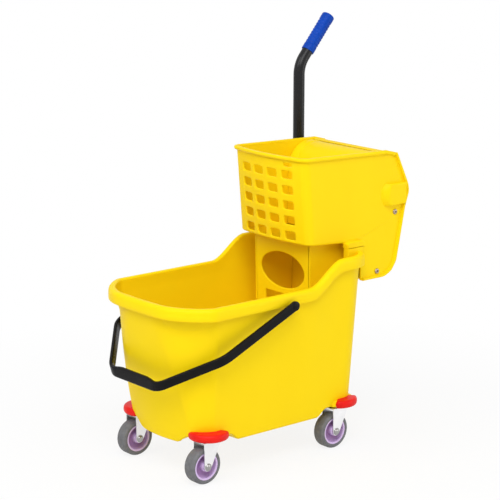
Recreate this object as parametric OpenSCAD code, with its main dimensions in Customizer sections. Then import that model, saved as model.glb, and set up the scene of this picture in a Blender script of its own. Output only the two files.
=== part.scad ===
// Mop bucket on swivel casters with a side press wringer hung on its rear rim.
// Inside the modules the pouring nose is at -X, the wringer at +X, the lever on the +Y side, and the floor is Z = 0.
// The finished part is shifted along X so that its origin lies under the middle of the whole object.

/* [Casters] */
// Diameter of a wheel over its tread
wheel_d = 76; // [66:1:86]
// Width of the tread
tread_w = 28; // [24:1:34]
// Distance between the front and rear swivel axes
wheelbase = 350; // [330:1:370]
// Distance from the middle plane to a wheel's middle plane
half_track = 114; // [108:1:118]
// Distance that an axle trails its swivel axis
trail = 20; // [16:1:26]
// Thickness of the pressed fork
fork_wall = 2.5; // [2:0.5:4]
// Diameter of the axle bolt
axle_d = 8; // [6:0.5:10]
// Diameter of the swivel stem
stem_d = 12; // [8:0.5:14]

/* [Bucket] */
// Height of the low rim above the underside
bucket_h = 298; // [270:1:330]
// Extra height of the rear shoulders
shoulder_h = 49; // [30:1:70]
// Wall thickness of the moulding
bucket_wall = 4; // [3:0.5:5]
// Half width of the underside
base_half_w = 125; // [121:1:130]
// Half width of the wall just under the rim
rim_half_w = 156; // [150:1:160]
// How far the nose wall leans out between underside and rim
nose_flare = 58; // [45:1:62]
// How far the rear wall leans out between underside and rim
rear_flare = 17; // [10:1:25]
// How far the lip stands out from the wall
lip_out = 11; // [8:0.5:13]
// Height of the lip's outer band
lip_h = 25; // [18:1:30]
// How far the middle of the nose bulges forward at the rim
nose_bulge = 13; // [5:1:18]

/* [Bail handle] */
// Distance from the pivot to the grip
bail_reach = 308; // [302:1:316]
// Width of the strap
bail_w = 20; // [16:1:24]
// Thickness of the strap
bail_t = 9; // [7:0.5:10]
// Diameter of the pivot pins
bail_pin_d = 8; // [6:0.5:9]

/* [Wringer] */
// Half width of the casing over its side plates
casing_half_w = 112; // [104:1:116]
// Height of the casing's top over the bucket's rear rim
casing_top = 206; // [190:1:220]
// Length of the chamber at the top, from the front wall to the press plate
chamber_l = 163; // [150:1:172]
// Wall thickness of the casing
casing_wall = 4; // [3:0.5:5]
// Lean of the front wall from the vertical, in degrees
front_lean = 5; // [3:0.5:7]
// Width of a drain hole in the front wall
hole_w = 28; // [20:1:32]
// Height of a drain hole in the front wall
hole_h = 18; // [12:1:21]
// Vertical pitch of the drain holes
hole_pitch_z = 32.5; // [29:0.5:33]
// Sideways pitch of the drain holes
hole_pitch_y = 42; // [38:1:46]
// Diameter of the press shaft
shaft_d = 20; // [14:0.5:22]
// Radius of the press plate's drum-shaped top
drum_r = 58; // [52:1:60]
// Thickness of the press plate
press_t = 5; // [4:0.5:7]

/* [Lever] */
// Outer diameter of the lever tube
tube_d = 25; // [19:0.5:27]
// Wall thickness of the lever tube
tube_wall = 2; // [1.5:0.5:3]
// Length of the tube from the shaft to the start of its bend
lever_l = 197; // [160:1:260]
// Angle of the bend, in degrees
lever_bend = 40; // [20:1:50]
// Length of the grip
grip_l = 97; // [80:1:110]
// Outer diameter of the grip
grip_d = 29; // [28:0.5:34]

/* [Hidden] */
$fn = 64;
plan_steps = 8;

// Clearances: seats within one body, running fits, and pieces that pass each other
seat_gap = 0.2;
run_gap = 0.05;
pass_gap = 0.4;

// Heights of the caster and of the bucket's underside
axle_z = wheel_d / 2;
base_z = wheel_d - 1;
pocket_h = 16.5;
ear_z = base_z + pocket_h;
ear_h = 14;
ear_r = 34;
ear_inset_y = 5;
rear_ear_shift = 3;
swivel_shift = 24;
stem_depth = 11;
stem_flange_r = 15;
stem_flange_h = 2;
stem_head_r = stem_d / 2 + 4;
stem_head_h = 2.5;
fork_top_z = ear_z - stem_flange_h - pass_gap;
pocket_r = 46;
pocket_mouth_r = 72;
fork_gap = 1;
fork_half_w = tread_w / 2 + fork_gap + fork_wall;
axle_boss_r = axle_d / 2 + 5;
fork_front = 12;
bolt_head_h = 4;
bush_wall = 1.5;
bumper_t = 8;
bumper_lip = 3;
bumper_skin = 1.6;
bumper_round = 7.5;

// Heights and lengths of the bucket
rim_z = base_z + bucket_h;
rear_rim_z = rim_z + shoulder_h;
base_nose_x = -wheelbase / 2 + 5;
base_rear_x = wheelbase / 2 + 58;
rim_rear_x = base_rear_x + rear_flare;
base_bulge = 18;
nose_r_base = 34;
nose_r_rim = 90;
rear_r_base = 30;
rear_r_rim = 60;
lip_wall = 3;
rise_from_x = 75;
rise_to_x = 168;
bottom_round = 6;

// Bail pivots
bail_slope_arm = 23.5;
bail_slope_grip = 27.3;
bail_front = 85.694;
bail_x = base_nose_x + bail_reach * cos(bail_slope_grip) - bail_front;
bail_z = rim_z - lip_h + 2;
bail_y = rim_half_w + lip_out + bail_t / 2 + 6.5;
bail_eye_r = bail_pin_d / 2 + 6;
bail_arm = 0.65 * bail_reach;
bail_grip_half = 77;
pin_boss_r = bail_pin_d / 2 + 4;

// The wringer's own datum: the rear rim's outer face and crest
seat_x = rim_rear_x + lip_out;
seat_z = rear_rim_z;
post_h = 7;
hook_gap = 1;
hook_drop = 71;
shaft_u = 45;
shaft_v = casing_top - drum_r - 6;
plate_u = shaft_u - drum_r;
front_u = plate_u - chamber_l;
floor_v = 25;
floor_slope = 4;
top_rise = 4.5;
top_slope = 1.8;
front_bow_r = 415;
front_corner_r = 20;
casing_lip_w = 6;
casing_lip_h = 8;
lug_t = 14;
lug_h = 13;
lug_back = -2;
lug_l = 46;
flange_w = 6;
flange_t = 5;
pad_t = 11;
hole_rows = 5;
hole_columns = 4;
hole_r = 4;
top_row_drop = 35;
latch_w = 22;
latch_h = 9;
latch_y = -67;
latch_drop = 13.5;
stop_t = 8;
skirt_y = 88;
skirt_v = -130;
skirt_rear_u = -36;
panel_u = front_u + 53;
panel_lean = 1.2;
panel_gap = 1.2;
panel_t = 4;
oval_w = 138;
oval_h = 78;
oval_v = -49;
bush_flange_r = shaft_d / 2 + 8;
bush_t = 3;
bush_l = 9;
wall_boss_r = shaft_d / 2 + bush_t + 5;
wall_boss_h = 9;
hub_r = shaft_d / 2 + 5;
press_half_w = casing_half_w - casing_wall - 4;
foot_gap = 2;
press_drop = shaft_v - bottom_v(plate_u) - casing_wall - foot_gap;
band_w = 20;
band_t = 3;
gusset_t = 4;
cover_t = 3;
cover_inset = 2;
cover_flap = 4;
screw_d = 5;
screw_head_r = 6;
screw_head_h = 3;
screw_boss_r = 8;
lever_y = casing_half_w + 27;
socket_t = 4;
socket_h = 44;
tube_seat = 16;
bend_r = 60;
tube_tip = 107;

// Rear outline of the side plates, from the top corner down to the hook, from the wringer's datum
rear_path = [
    [99, casing_top - 11],
    [133, casing_top - 82],
    [136, casing_top - 98],
    [125, casing_top - 130],
    [101, 30 - hook_drop],
    [87, 10 - hook_drop],
    [66, -hook_drop]
];
screw_points = [[99, 66], [48, 14 - hook_drop]];

// Corner signs and names of the four casters: left is the -Y side when looking towards the nose
corners = [[-1, -1], [-1, 1], [1, -1], [1, 1]];
corner_names = ["front_left", "front_right", "rear_left", "rear_right"];

// Middle of the whole object along X
grip_end = 5;
grip_round = 4;
lever_reach = shaft_u + bend_r * (1 - cos(lever_bend)) + (tube_tip + grip_end - grip_round) * sin(lever_bend)
    + (grip_d / 2 - grip_round) * cos(lever_bend) + grip_round;
front_reach = bail_x - bail_reach * cos(bail_slope_grip) - bail_t / 2;
rear_reach = seat_x + max(rear_path[2].x, lever_reach);
middle_x = (front_reach + rear_reach) / 2;

function lerp(a, b, t) = a + (b - a) * t;
function clamp(t) = min(max(t, 0), 1);
function smooth(t) = let (c = clamp(t)) c * c * (3 - 2 * c);
function unit(v) = v / norm(v);
function flip(list) = [for (i = [len(list) - 1 : -1 : 0]) list[i]];
function arc(centre, r, from, to, steps) =
    [for (i = [0 : steps]) let (a = lerp(from, to, i / steps)) centre + r * [cos(a), sin(a)]];

// Path moved sideways by d, to the left of its direction, with mitred corners
function side_normal(a, b) = let (d = unit(b - a)) [-d.y, d.x];
function shifted(path, d) = [
    for (i = [0 : len(path) - 1])
        let (
            before = i == 0 ? side_normal(path[0], path[1]) : side_normal(path[i - 1], path[i]),
            after = i == len(path) - 1 ? before : side_normal(path[i], path[i + 1])
        )
        path[i] + d * (before + after) / (1 + before * after)
];

function swivel(c) = [c.x * wheelbase / 2 + swivel_shift, c.y * half_track];
function ear(c) = swivel(c) + [c.x > 0 ? rear_ear_shift : 0, -c.y * ear_inset_y];

// Angles at which a bumper's ends meet the walls, from +X towards the outer side of its corner
function bumper_span(c) = c.x < 0 ? [44, 192] : [22, 138];

// A flat outline in the XZ plane, given thickness from y0 to y1
module slab(y0, y1) {
    translate([0, y1, 0]) rotate([90, 0, 0]) linear_extrude(y1 - y0) children();
}

// A rod along Y from y0 to y1 at [x, z]
module rod(at, r, y0, y1) {
    translate([at.x, y1, at.y]) rotate([90, 0, 0]) cylinder(r = r, h = y1 - y0);
}

module both_sides() {
    children();
    mirror([0, 1, 0]) children();
}

module at_wringer() {
    translate([seat_x, 0, seat_z]) children();
}

module at_wheel(c) {
    translate([swivel(c).x - trail, swivel(c).y, axle_z]) children();
}

// Bucket: rings of points round the plan, from the underside up the outer wall, over the lip and down inside

// Plan outline at share t of the wall height, grown outwards by d: rounded corners, straight sides and a bulged nose
function plan(t, d) =
    let (
        w = lerp(base_half_w, rim_half_w, t) + d,
        bulge = lerp(base_bulge, nose_bulge, t),
        nose = base_nose_x - t * nose_flare - d,
        rear = base_rear_x + t * rear_flare + d,
        rn = lerp(nose_r_base, nose_r_rim, t) + d,
        rr = lerp(rear_r_base, rear_r_rim, t) + d,
        sides = 24,
        front_steps = 8,
        flat = concat(
            arc([nose + rn, -w + rn], rn, 180, 270, plan_steps),
            [for (i = [1 : sides - 1]) [lerp(nose + rn, rear - rr, i / sides), -w]],
            arc([rear - rr, -w + rr], rr, 270, 360, plan_steps),
            arc([rear - rr, w - rr], rr, 0, 90, plan_steps),
            [for (i = [1 : sides - 1]) [lerp(rear - rr, nose + rn, i / sides), w]],
            arc([nose + rn, w - rn], rn, 90, 180, plan_steps),
            [for (i = [1 : front_steps - 1]) [nose, lerp(w - rn, -w + rn, i / front_steps)]]
        )
    )
    [
        for (p = flat)
            let (share = clamp((nose + rn - p.x) / rn), off = p.y / w)
            [p.x - bulge * share * (1 - off * off), p.y]
    ];

// Height of the rim's crest, which rises in an S towards the rear shoulders
function crest(x) = rim_z + shoulder_h * smooth((x - rise_from_x) / (rise_to_x - rise_from_x));
crests = [for (p = plan(1, 0)) crest(p.x)];

// A ring on the wall at share t of its height, and a ring of the lip at a height below the crest
function wall_ring(t, d) =
    let (p = plan(t, d))
    [for (i = [0 : len(p) - 1]) [p[i].x, p[i].y, lerp(base_z, crests[i] - lip_h, t)]];
function level_ring(t, d, z) = [for (p = plan(t, d)) [p.x, p.y, z]];
function lip_ring(d, down) =
    let (p = plan(1, d))
    [for (i = [0 : len(p) - 1]) [p[i].x, p[i].y, crests[i] - down]];

// Closed skin through a list of rings that all have as many points, capped by fans from the end rings' middles
function middle(ring) = [for (r = ring) 1] * ring / len(ring);

module skin(rings) {
    n = len(rings[0]);
    last = (len(rings) - 1) * n;
    low = len(rings) * n;
    high = low + 1;
    polyhedron(
        points = concat([for (r = rings) each r], [middle(rings[0]), middle(rings[len(rings) - 1])]),
        faces = concat(
            [for (i = [0 : n - 1]) [i, (i + 1) % n, low]],
            [for (k = [0 : len(rings) - 2]) for (i = [0 : n - 1])
                [k * n + i, (k + 1) * n + i, (k + 1) * n + (i + 1) % n]],
            [for (k = [0 : len(rings) - 2]) for (i = [0 : n - 1])
                [k * n + i, (k + 1) * n + (i + 1) % n, k * n + (i + 1) % n]],
            [for (i = [0 : n - 1]) [last + (i + 1) % n, last + i, high]]
        )
    );
}

module bucket_shell() {
    skin([
        level_ring(0, -bottom_round, base_z),
        level_ring(0, -bottom_round * 0.3, base_z + bottom_round * 0.3),
        wall_ring(0.03, 0),
        wall_ring(0.35, 0),
        wall_ring(0.7, 0),
        wall_ring(1, 0),
        lip_ring(0, lip_wall + 2),
        lip_ring(2, lip_wall),
        lip_ring(lip_out - lip_wall, lip_wall + 2),
        lip_ring(lip_out - lip_wall, lip_h),
        lip_ring(lip_out, lip_h),
        lip_ring(lip_out, 6),
        lip_ring(lip_out - 2, 2),
        lip_ring(lip_out - 5, 0),
        lip_ring(-1, 0),
        lip_ring(-3, 1.5),
        lip_ring(-bucket_wall, 5),
        wall_ring(1, -bucket_wall),
        wall_ring(0.7, -bucket_wall),
        wall_ring(0.35, -bucket_wall),
        wall_ring(0.06, -bucket_wall),
        level_ring(0, -bucket_wall - bottom_round, base_z + bucket_wall)
    ]);
}

// The inside of the lowest part of the outer wall, which trims the caster housings
module bucket_core() {
    top = lerp(base_z, rim_z - lip_h, 0.2);
    skin([level_ring(0, -bottom_round - 1, base_z + 1), level_ring(0.2, -bucket_wall / 2, top)]);
}

module pocket(c, grow) {
    translate([swivel(c).x, swivel(c).y, base_z - 1 - grow])
        cylinder(r1 = pocket_mouth_r + grow, r2 = pocket_r + grow, h = pocket_h + 1 + 2 * grow, $fn = 96);
}

module rim_post() {
    at_wringer() translate([-lug_l + lug_back, casing_half_w - 2, -22])
        cube([lug_l - lug_back - lip_out / 2, lug_t + 2, 22 + post_h]);
}

module bucket() {
    color("gold") difference() {
        union() {
            bucket_shell();
            intersection() {
                bucket_core();
                for (c = corners) pocket(c, bucket_wall);
            }
            for (c = corners)
                translate([ear(c).x, ear(c).y, ear_z - 1]) cylinder(r = ear_r, h = ear_h + 1);
            both_sides() rim_post();
            both_sides() rod([bail_x, bail_z], pin_boss_r, rim_half_w - 3, rim_half_w + lip_out + 0.5);
        }
        for (c = corners) {
            pocket(c, 0);
            translate([swivel(c).x, swivel(c).y, ear_z - 1]) cylinder(d = stem_d + 2 * seat_gap, h = stem_depth + 1);
        }
        both_sides() rod([bail_x, bail_z], bail_pin_d / 2 + seat_gap / 2, rim_half_w - 2, rim_half_w + 40);
    }
}

// Red bumper that clips round the outer edge of a caster ear
module bumper(c) {
    span = bumper_span(c);
    start = c.y > 0 ? span[0] : -span[1];
    low = ear_z - bumper_skin;
    high = ear_z + ear_h + bumper_skin;
    inner = ear_r + seat_gap;
    color("red") translate([ear(c).x, ear(c).y, 0])
        rotate([0, 0, start])
        rotate_extrude(angle = span[1] - span[0], $fn = 96)
        polygon(concat(
            [[inner, ear_z - seat_gap], [inner - bumper_lip, ear_z - seat_gap], [inner - bumper_lip, low]],
            arc([inner + bumper_t - bumper_round, low + bumper_round], bumper_round, -90, 0, 6),
            arc([inner + bumper_t - bumper_round, high - bumper_round], bumper_round, 0, 90, 6),
            [[inner - bumper_lip, high], [inner - bumper_lip, ear_z + ear_h + seat_gap], [inner, ear_z + ear_h + seat_gap]]
        ));
}

// Swivel stems: shank in the ear, flange under it and a flat head that carries the fork
module caster_stems() {
    color("silver") for (c = corners) translate([swivel(c).x, swivel(c).y, 0]) {
        head_z = fork_top_z - fork_wall - pass_gap - stem_head_h;
        translate([0, 0, head_z]) cylinder(d = stem_d, h = ear_z + stem_depth - seat_gap - head_z);
        translate([0, 0, ear_z - stem_flange_h]) cylinder(r = stem_flange_r, h = stem_flange_h);
        translate([0, 0, head_z]) cylinder(r = stem_head_r, h = stem_head_h);
    }
}

// Pressed fork: top plate and two legs that taper to the axle, with an upright front edge
module fork_leg() {
    boss = [-trail, axle_z];
    back = [fork_front + 2, fork_top_z];
    run = back - boss;
    tilt = atan2(run.y, run.x) - acos(axle_boss_r / norm(run));
    touch = boss + axle_boss_r * [cos(tilt), sin(tilt)];
    difference() {
        union() {
            polygon([back, [-trail - axle_boss_r, fork_top_z], [-trail - axle_boss_r, axle_z], boss, touch]);
            translate(boss) circle(axle_boss_r);
        }
        translate(boss) circle(axle_d / 2 + seat_gap / 2);
    }
}

module fork(c) {
    color("gainsboro") translate([swivel(c).x, swivel(c).y, 0]) {
        for (s = [-1, 1])
            slab(s * (fork_half_w - fork_wall / 2) - fork_wall / 2, s * (fork_half_w - fork_wall / 2) + fork_wall / 2)
                fork_leg();
        translate([0, 0, fork_top_z - fork_wall]) linear_extrude(fork_wall) difference() {
            union() {
                translate([-trail - axle_boss_r, -fork_half_w])
                    square([trail + axle_boss_r + fork_front + 2, 2 * fork_half_w]);
                circle(stem_flange_r + 2);
            }
            circle(stem_d / 2 + run_gap);
        }
    }
}

module axle(c) {
    color("lightgray") at_wheel(c) {
        rod([0, 0], axle_d / 2, -fork_half_w - bolt_head_h, fork_half_w + bolt_head_h + 2);
        rod([0, 0], axle_d / 2 + 3, -fork_half_w - bolt_head_h, -fork_half_w);
        translate([0, fork_half_w + bolt_head_h, 0]) rotate([90, 0, 0])
            cylinder(r = axle_d / 2 + 3.5, h = bolt_head_h, $fn = 6);
    }
}

// A turned ring about the wheel's axle, from a profile of [radius, distance from the wheel's middle]
module turned(c) {
    at_wheel(c) rotate([90, 0, 0]) rotate_extrude($fn = 96) children();
}

hub_half = tread_w / 2 + fork_gap - pass_gap;
bush_r = axle_d / 2 + bush_wall;
hub_seat_r = wheel_d / 2 - 9;
tread_round = 6;

module bush(c) {
    color("whitesmoke") turned(c)
        translate([axle_d / 2 + run_gap, -hub_half]) square([bush_wall - run_gap, 2 * hub_half]);
}

// Wheel centre: hub barrel, dished web and rim band
module hub(c) {
    barrel_r = bush_r + 5;
    band = 4;
    color("plum") turned(c) {
        translate([bush_r, -hub_half]) square([barrel_r - bush_r, 2 * hub_half]);
        translate([barrel_r - 1, -3]) square([hub_seat_r - barrel_r, 6]);
        translate([hub_seat_r - band, -tread_w / 2 + 1]) square([band, tread_w - 2]);
    }
}

module tyre(c) {
    r = wheel_d / 2;
    side = tread_w / 2 - tread_round;
    color("dimgray") turned(c) polygon(concat(
        [[hub_seat_r, tread_w / 2], [hub_seat_r, -tread_w / 2]],
        arc([r - tread_round, -side], tread_round, -90, -10, 6),
        arc([r - tread_round, side], tread_round, 10, 90, 6)
    ));
}

// Bail: a flat strap swept from one pivot eye, round the nose and back to the other
function bail_point(reach, slope, y) = [bail_x - reach * cos(slope), y, bail_z - reach * sin(slope)];
bail_eye = bail_point(bail_eye_r - 3, bail_slope_arm, -bail_y);
bail_knee = bail_point(bail_arm, bail_slope_arm, -bail_y);
bail_corner = bail_point(bail_reach, bail_slope_grip, -bail_grip_half);
knee_round = 24;

// Points of a corner rounded between a and c, as a curve that leaves the corner b by the given length
function rounded(a, b, c, cut, steps) =
    let (p = b + cut * unit(a - b), q = b + cut * unit(c - b))
    [for (i = [0 : steps]) let (t = i / steps) lerp(lerp(p, b, t), lerp(b, q, t), t)];
function other_side(p) = [p.x, -p.y, p.z];

bail_half = concat(
    [bail_eye],
    rounded(bail_eye, bail_knee, bail_corner, knee_round, 5),
    rounded(bail_knee, bail_corner, other_side(bail_corner), knee_round, 5),
    [for (i = [1 : 4]) [bail_corner.x, lerp(-bail_grip_half + knee_round, 0, i / 5), bail_corner.z]]
);
bail_path = concat(
    bail_half,
    [[bail_corner.x, 0, bail_corner.z]],
    flip([for (p = bail_half) other_side(p)])
);

// Strap section at point i of the path: a flat oval, taller across the grip, where its upper edge swells
function strap(i) =
    let (
        p = bail_path[i],
        from = bail_path[max(i - 1, 0)],
        to = bail_path[min(i + 1, len(bail_path) - 1)],
        along = unit(to - from),
        up = unit([0, 0, 1] - along.z * along),
        out = cross(up, along),
        swell = smooth((bail_grip_half - abs(p.y)) / 40)
    )
    [
        for (a = [15 : 30 : 345])
            let (
                s = sign(sin(a)) * pow(abs(sin(a)), 0.5),
                high = bail_w / 2 + (s > 0 ? 5 * swell : 0)
            )
            p + out * (bail_t / 2) * sign(cos(a)) * pow(abs(cos(a)), 0.5) + up * high * s
    ];

module bail_handle() {
    color("#1c1c1e") difference() {
        union() {
            skin([for (i = [0 : len(bail_path) - 1]) strap(i)]);
            both_sides() rod([bail_x, bail_z], bail_eye_r, bail_y - bail_t / 2, bail_y + bail_t / 2);
        }
        both_sides() rod([bail_x, bail_z], bail_pin_d / 2 + run_gap, bail_y - bail_t, bail_y + bail_t);
    }
}

module bail_pins() {
    color("#2a2a2c") both_sides() {
        rod([bail_x, bail_z], bail_pin_d / 2, rim_half_w - 2 + seat_gap, bail_y + bail_t / 2 + pass_gap + 1);
        rod([bail_x, bail_z], bail_pin_d / 2 + 3, bail_y + bail_t / 2 + pass_gap, bail_y + bail_t / 2 + pass_gap + 1);
    }
}

// Wringer casing: front wall and sides drawn down along the lean of the front wall, plus the side plates

// Plan of the casing, grown by d: bowed front, round corners and straight sides back to u
function casing_plan(d, u) =
    let (
        centre = [front_u + front_bow_r, 0],
        inset = casing_half_w - front_corner_r,
        reach = front_bow_r - front_corner_r,
        corner_x = centre.x - sqrt(reach * reach - inset * inset),
        turn = asin(inset / reach),
        near = concat(
            [[u, -casing_half_w - d]],
            arc([corner_x, -inset], front_corner_r + d, 270, 180 + turn, 6),
            arc(centre, front_bow_r + d, 180 + turn, 180, 8)
        )
    )
    concat(near, [for (i = [len(near) - 2 : -1 : 0]) [near[i].x, -near[i].y]]);

// A prism of a plan outline that leans back as it goes down from the casing's top
module leaning(outline) {
    translate([front_u, 0, casing_top]) rotate([0, -front_lean, 0]) translate([-front_u, 0, -260])
        linear_extrude(300) polygon(outline);
}

// A leaning wall between two offsets of the casing's plan
module leaning_wall(inner, outer, u) {
    leaning(concat(casing_plan(outer, u), flip(casing_plan(inner, u))));
}

// Heights of the casing's top edge, which falls to the rear, and of its underside
top_corner_u = rear_path[0].x - 29;
function top_line(u) = casing_top + top_rise - (u - front_u) * tan(top_slope);
function top_v(u) = u < top_corner_u
    ? top_line(u)
    : lerp(top_line(top_corner_u), rear_path[0].y, (u - top_corner_u) / (rear_path[0].x - top_corner_u));
function bottom_v(u) = floor_v - (u - front_u) * tan(floor_slope);

lip_rear_u = rear_path[0].x - 6;
wall_rear_u = plate_u - 20;
// The front wall is this much inside the side plates' faces, so its ends are buried in them
wall_tuck = 0.2;

module wall_region(drop) {
    polygon([
        [front_u - 40, top_v(front_u - 40)], [top_corner_u, top_v(top_corner_u)], [lip_rear_u, top_v(lip_rear_u)],
        [lip_rear_u, top_v(lip_rear_u) - drop], [top_corner_u, top_v(top_corner_u) - drop],
        [front_u - 40, top_v(front_u - 40) - drop]
    ]);
}

// Outline of a side plate, from behind the front corner round the back to the hook notch
module side_outline() {
    start = front_u + 40;
    polygon(concat(
        [[start, top_v(start)], [top_corner_u, top_v(top_corner_u)]],
        rear_path,
        [
            [hook_gap, -hook_drop], [hook_gap, post_h + seat_gap], [-lug_l + lug_back, post_h + seat_gap],
            [-lug_l + lug_back, bottom_v(-lug_l + lug_back)], [start, bottom_v(start)]
        ]
    ));
}

// Raised pad on the side plate: arched front end, open towards the rear edge
module pad_outline(d) {
    height = 48;
    rear = rear_path[3].x - 2;
    middle = [rear - 57, casing_top - 100];
    polygon(concat(
        [[rear, middle.y - height / 2 - d]],
        arc([middle.x + 26, middle.y], 34 + d, 180 + 45, 180 - 45, 8),
        [[rear, middle.y + height / 2 + d]]
    ));
}

// Drain holes through the front wall, on the named pitches, and the short window under the lip
module drain_holes() {
    for (row = [0 : hole_rows - 1]) for (column = [0 : hole_columns - 1])
        translate([
            front_u - 40,
            (column - (hole_columns - 1) / 2) * hole_pitch_y,
            casing_top - top_row_drop - row * hole_pitch_z
        ])
            rotate([90, 0, 90]) linear_extrude(100) rounded_window(hole_w, hole_h, hole_r);
    translate([front_u - 40, latch_y, casing_top - latch_drop])
        rotate([90, 0, 90]) linear_extrude(100) rounded_window(latch_w, latch_h, hole_r - 1);
}

module rounded_window(w, h, r) {
    square([w - 2 * r, h], center = true);
    square([w, h - 2 * r], center = true);
    for (x = [-1, 1]) for (y = [-1, 1])
        translate([x * (w / 2 - r), y * (h / 2 - r)]) circle(r, $fn = 24);
}

// Chamber floor, which falls to the rear, trimmed to the front wall, with rows of drain slots
module casing_floor() {
    rear = hook_gap + 6;
    front = front_u - 20;
    difference() {
        intersection() {
            slab(-casing_half_w + 1, casing_half_w - 1) polygon([
                [front, bottom_v(front) + 2 * wall_tuck], [rear, bottom_v(rear) + 2 * wall_tuck],
                [rear, bottom_v(rear) + casing_wall], [front, bottom_v(front) + casing_wall]
            ]);
            leaning(casing_plan(-1, rear + 20));
        }
        for (i = [0 : 2]) translate([panel_u + 68 + i * 16, -70, -20]) cube([9, 140, 80]);
    }
}

module skirt_outline() {
    polygon([
        [panel_u, bottom_v(panel_u) + 1], [skirt_rear_u, bottom_v(skirt_rear_u) + 1],
        [skirt_rear_u - 6, skirt_v], [panel_u - skirt_v * tan(panel_lean), skirt_v]
    ]);
}

module side_plate() {
    shaft = [shaft_u, shaft_v];
    slab(casing_half_w - casing_wall, casing_half_w) side_outline();
    slab(casing_half_w - 1, casing_half_w + flange_w)
        polygon(concat(rear_path, flip(shifted(rear_path, -flange_t))));
    slab(casing_half_w - 1, casing_half_w + pad_t) pad_outline(0);
    translate([-lug_l + lug_back, casing_half_w - 1, post_h + seat_gap]) cube([lug_l, lug_t + 1, lug_h]);
    slab(skirt_y - casing_wall, skirt_y) skirt_outline();
    rod(shaft, wall_boss_r, casing_half_w - casing_wall - wall_boss_h, casing_half_w - 1);
    translate([plate_u + band_t + press_t + pass_gap, press_half_w - 6, casing_top - 150])
        cube([stop_t, casing_half_w - press_half_w + 4, 26]);
}

module wringer_casing() {
    shaft = [shaft_u, shaft_v];
    color("gold") at_wringer() difference() {
        union() {
            intersection() {
                leaning_wall(wall_tuck - casing_wall, -wall_tuck, wall_rear_u);
                slab(-200, 200) polygon([
                    [front_u - 40, top_v(front_u - 40) - wall_tuck],
                    [wall_rear_u, top_v(wall_rear_u) - wall_tuck],
                    [wall_rear_u, bottom_v(wall_rear_u) + wall_tuck],
                    [front_u - 40, bottom_v(front_u - 40) + wall_tuck]
                ]);
            }
            intersection() {
                leaning_wall(-1, casing_lip_w, lip_rear_u + 20);
                slab(-200, 200) wall_region(casing_lip_h);
            }
            both_sides() side_plate();
            casing_floor();
        }
        drain_holes();
        rod(shaft, shaft_d / 2 + bush_t, casing_half_w - 40, casing_half_w + 40);
        rod(shaft, shaft_d / 2 + bush_t, -casing_half_w + 2, -casing_half_w + 40);
        both_sides() for (p = screw_points) rod(p, screw_d / 2 + seat_gap, casing_half_w - 30, casing_half_w + 40);
    }
}

// Splash panel under the chamber: leaning front with an oval window, side flanges inside the skirts
module splash_panel() {
    width = 2 * (skirt_y - casing_wall - panel_gap);
    lean = [0, -panel_lean, 0];
    color("gold") at_wringer() intersection() {
        translate([panel_u, 0, 0]) rotate(lean) difference() {
            union() {
                translate([0, -width / 2, skirt_v - 20]) cube([panel_t, width, -skirt_v + casing_top]);
                for (s = [-1, 1])
                    translate([0, s * (width / 2 - 1.5) - 1.5, skirt_v - 20]) cube([26, 3, -skirt_v + casing_top]);
            }
            translate([-10, 0, oval_v]) rotate([90, 0, 90]) linear_extrude(60)
                polygon([for (a = [0 : 7.5 : 352.5]) [oval_w / 2 * cos(a), oval_h / 2 * sin(a)]]);
            translate([-10, -oval_w / 2 + 14, skirt_v - 30])
                cube([60, oval_w - 28, oval_v - oval_h / 2 - 12 - skirt_v + 30]);
        }
        slab(-150, 150) polygon([
            [panel_u - 60, skirt_v], [panel_u + 60, skirt_v],
            [panel_u + 60, bottom_v(panel_u + 60) - seat_gap], [panel_u - 60, bottom_v(panel_u - 60) - seat_gap]
        ]);
    }
}

// Rear cover: a bent panel inside the side plates' rear edge, from over the drum down, with cheeks for its screws
module rear_cover() {
    inside = casing_half_w - casing_wall - seat_gap;
    crest = [top_corner_u, top_v(top_corner_u)];
    path = concat([crest - [cover_flap, 0], crest], rear_path);
    outer = shifted(path, -cover_inset);
    inner = shifted(path, -cover_inset - cover_t);
    color("gold") at_wringer() difference() {
        union() {
            slab(-inside, inside) polygon(concat(outer, [[hook_gap + 2, outer[8].y], [hook_gap + 2, inner[8].y]], flip(inner)));
            both_sides() {
                slab(inside - 6, inside) polygon([
                    inner[5], inner[6], inner[7], inner[8], screw_points[1] - [16, 8], screw_points[1] + [-12, 10],
                    screw_points[0] + [-12, -10], screw_points[0] + [-8, 10]
                ]);
                for (p = screw_points) rod(p, screw_boss_r, inside - 16, inside);
            }
        }
        both_sides() for (p = screw_points) rod(p, screw_d / 2, inside - 14, inside + 10);
    }
}

module cover_screws() {
    color("silver") at_wringer() both_sides() for (p = screw_points) {
        rod(p, screw_d / 2, casing_half_w - casing_wall - 13, casing_half_w + 1);
        rod(p, screw_head_r, casing_half_w, casing_half_w + screw_head_h);
    }
}

// Press plate: flat front, drum-shaped top, edge bands, gussets and a hub on the shaft
drum_end = 20;
function drum(r, d) = concat([[-drum_r + d, -press_drop]], arc([0, 0], r, 180, drum_end, 16));

module press_section(from, to) {
    polygon(concat(drum(drum_r - from, from), flip(drum(drum_r - to, to))));
}

module gusset_outline() {
    inner = drum_r - band_t - press_t + 1;
    polygon(concat(
        [[-inner, 30 - press_drop], [-inner, 0]],
        arc([0, 0], inner, 180, drum_end + 4, 10),
        [[hub_r, 8], [hub_r - 4, -hub_r + 2], [-hub_r, -hub_r - 6]]
    ));
}

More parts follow.
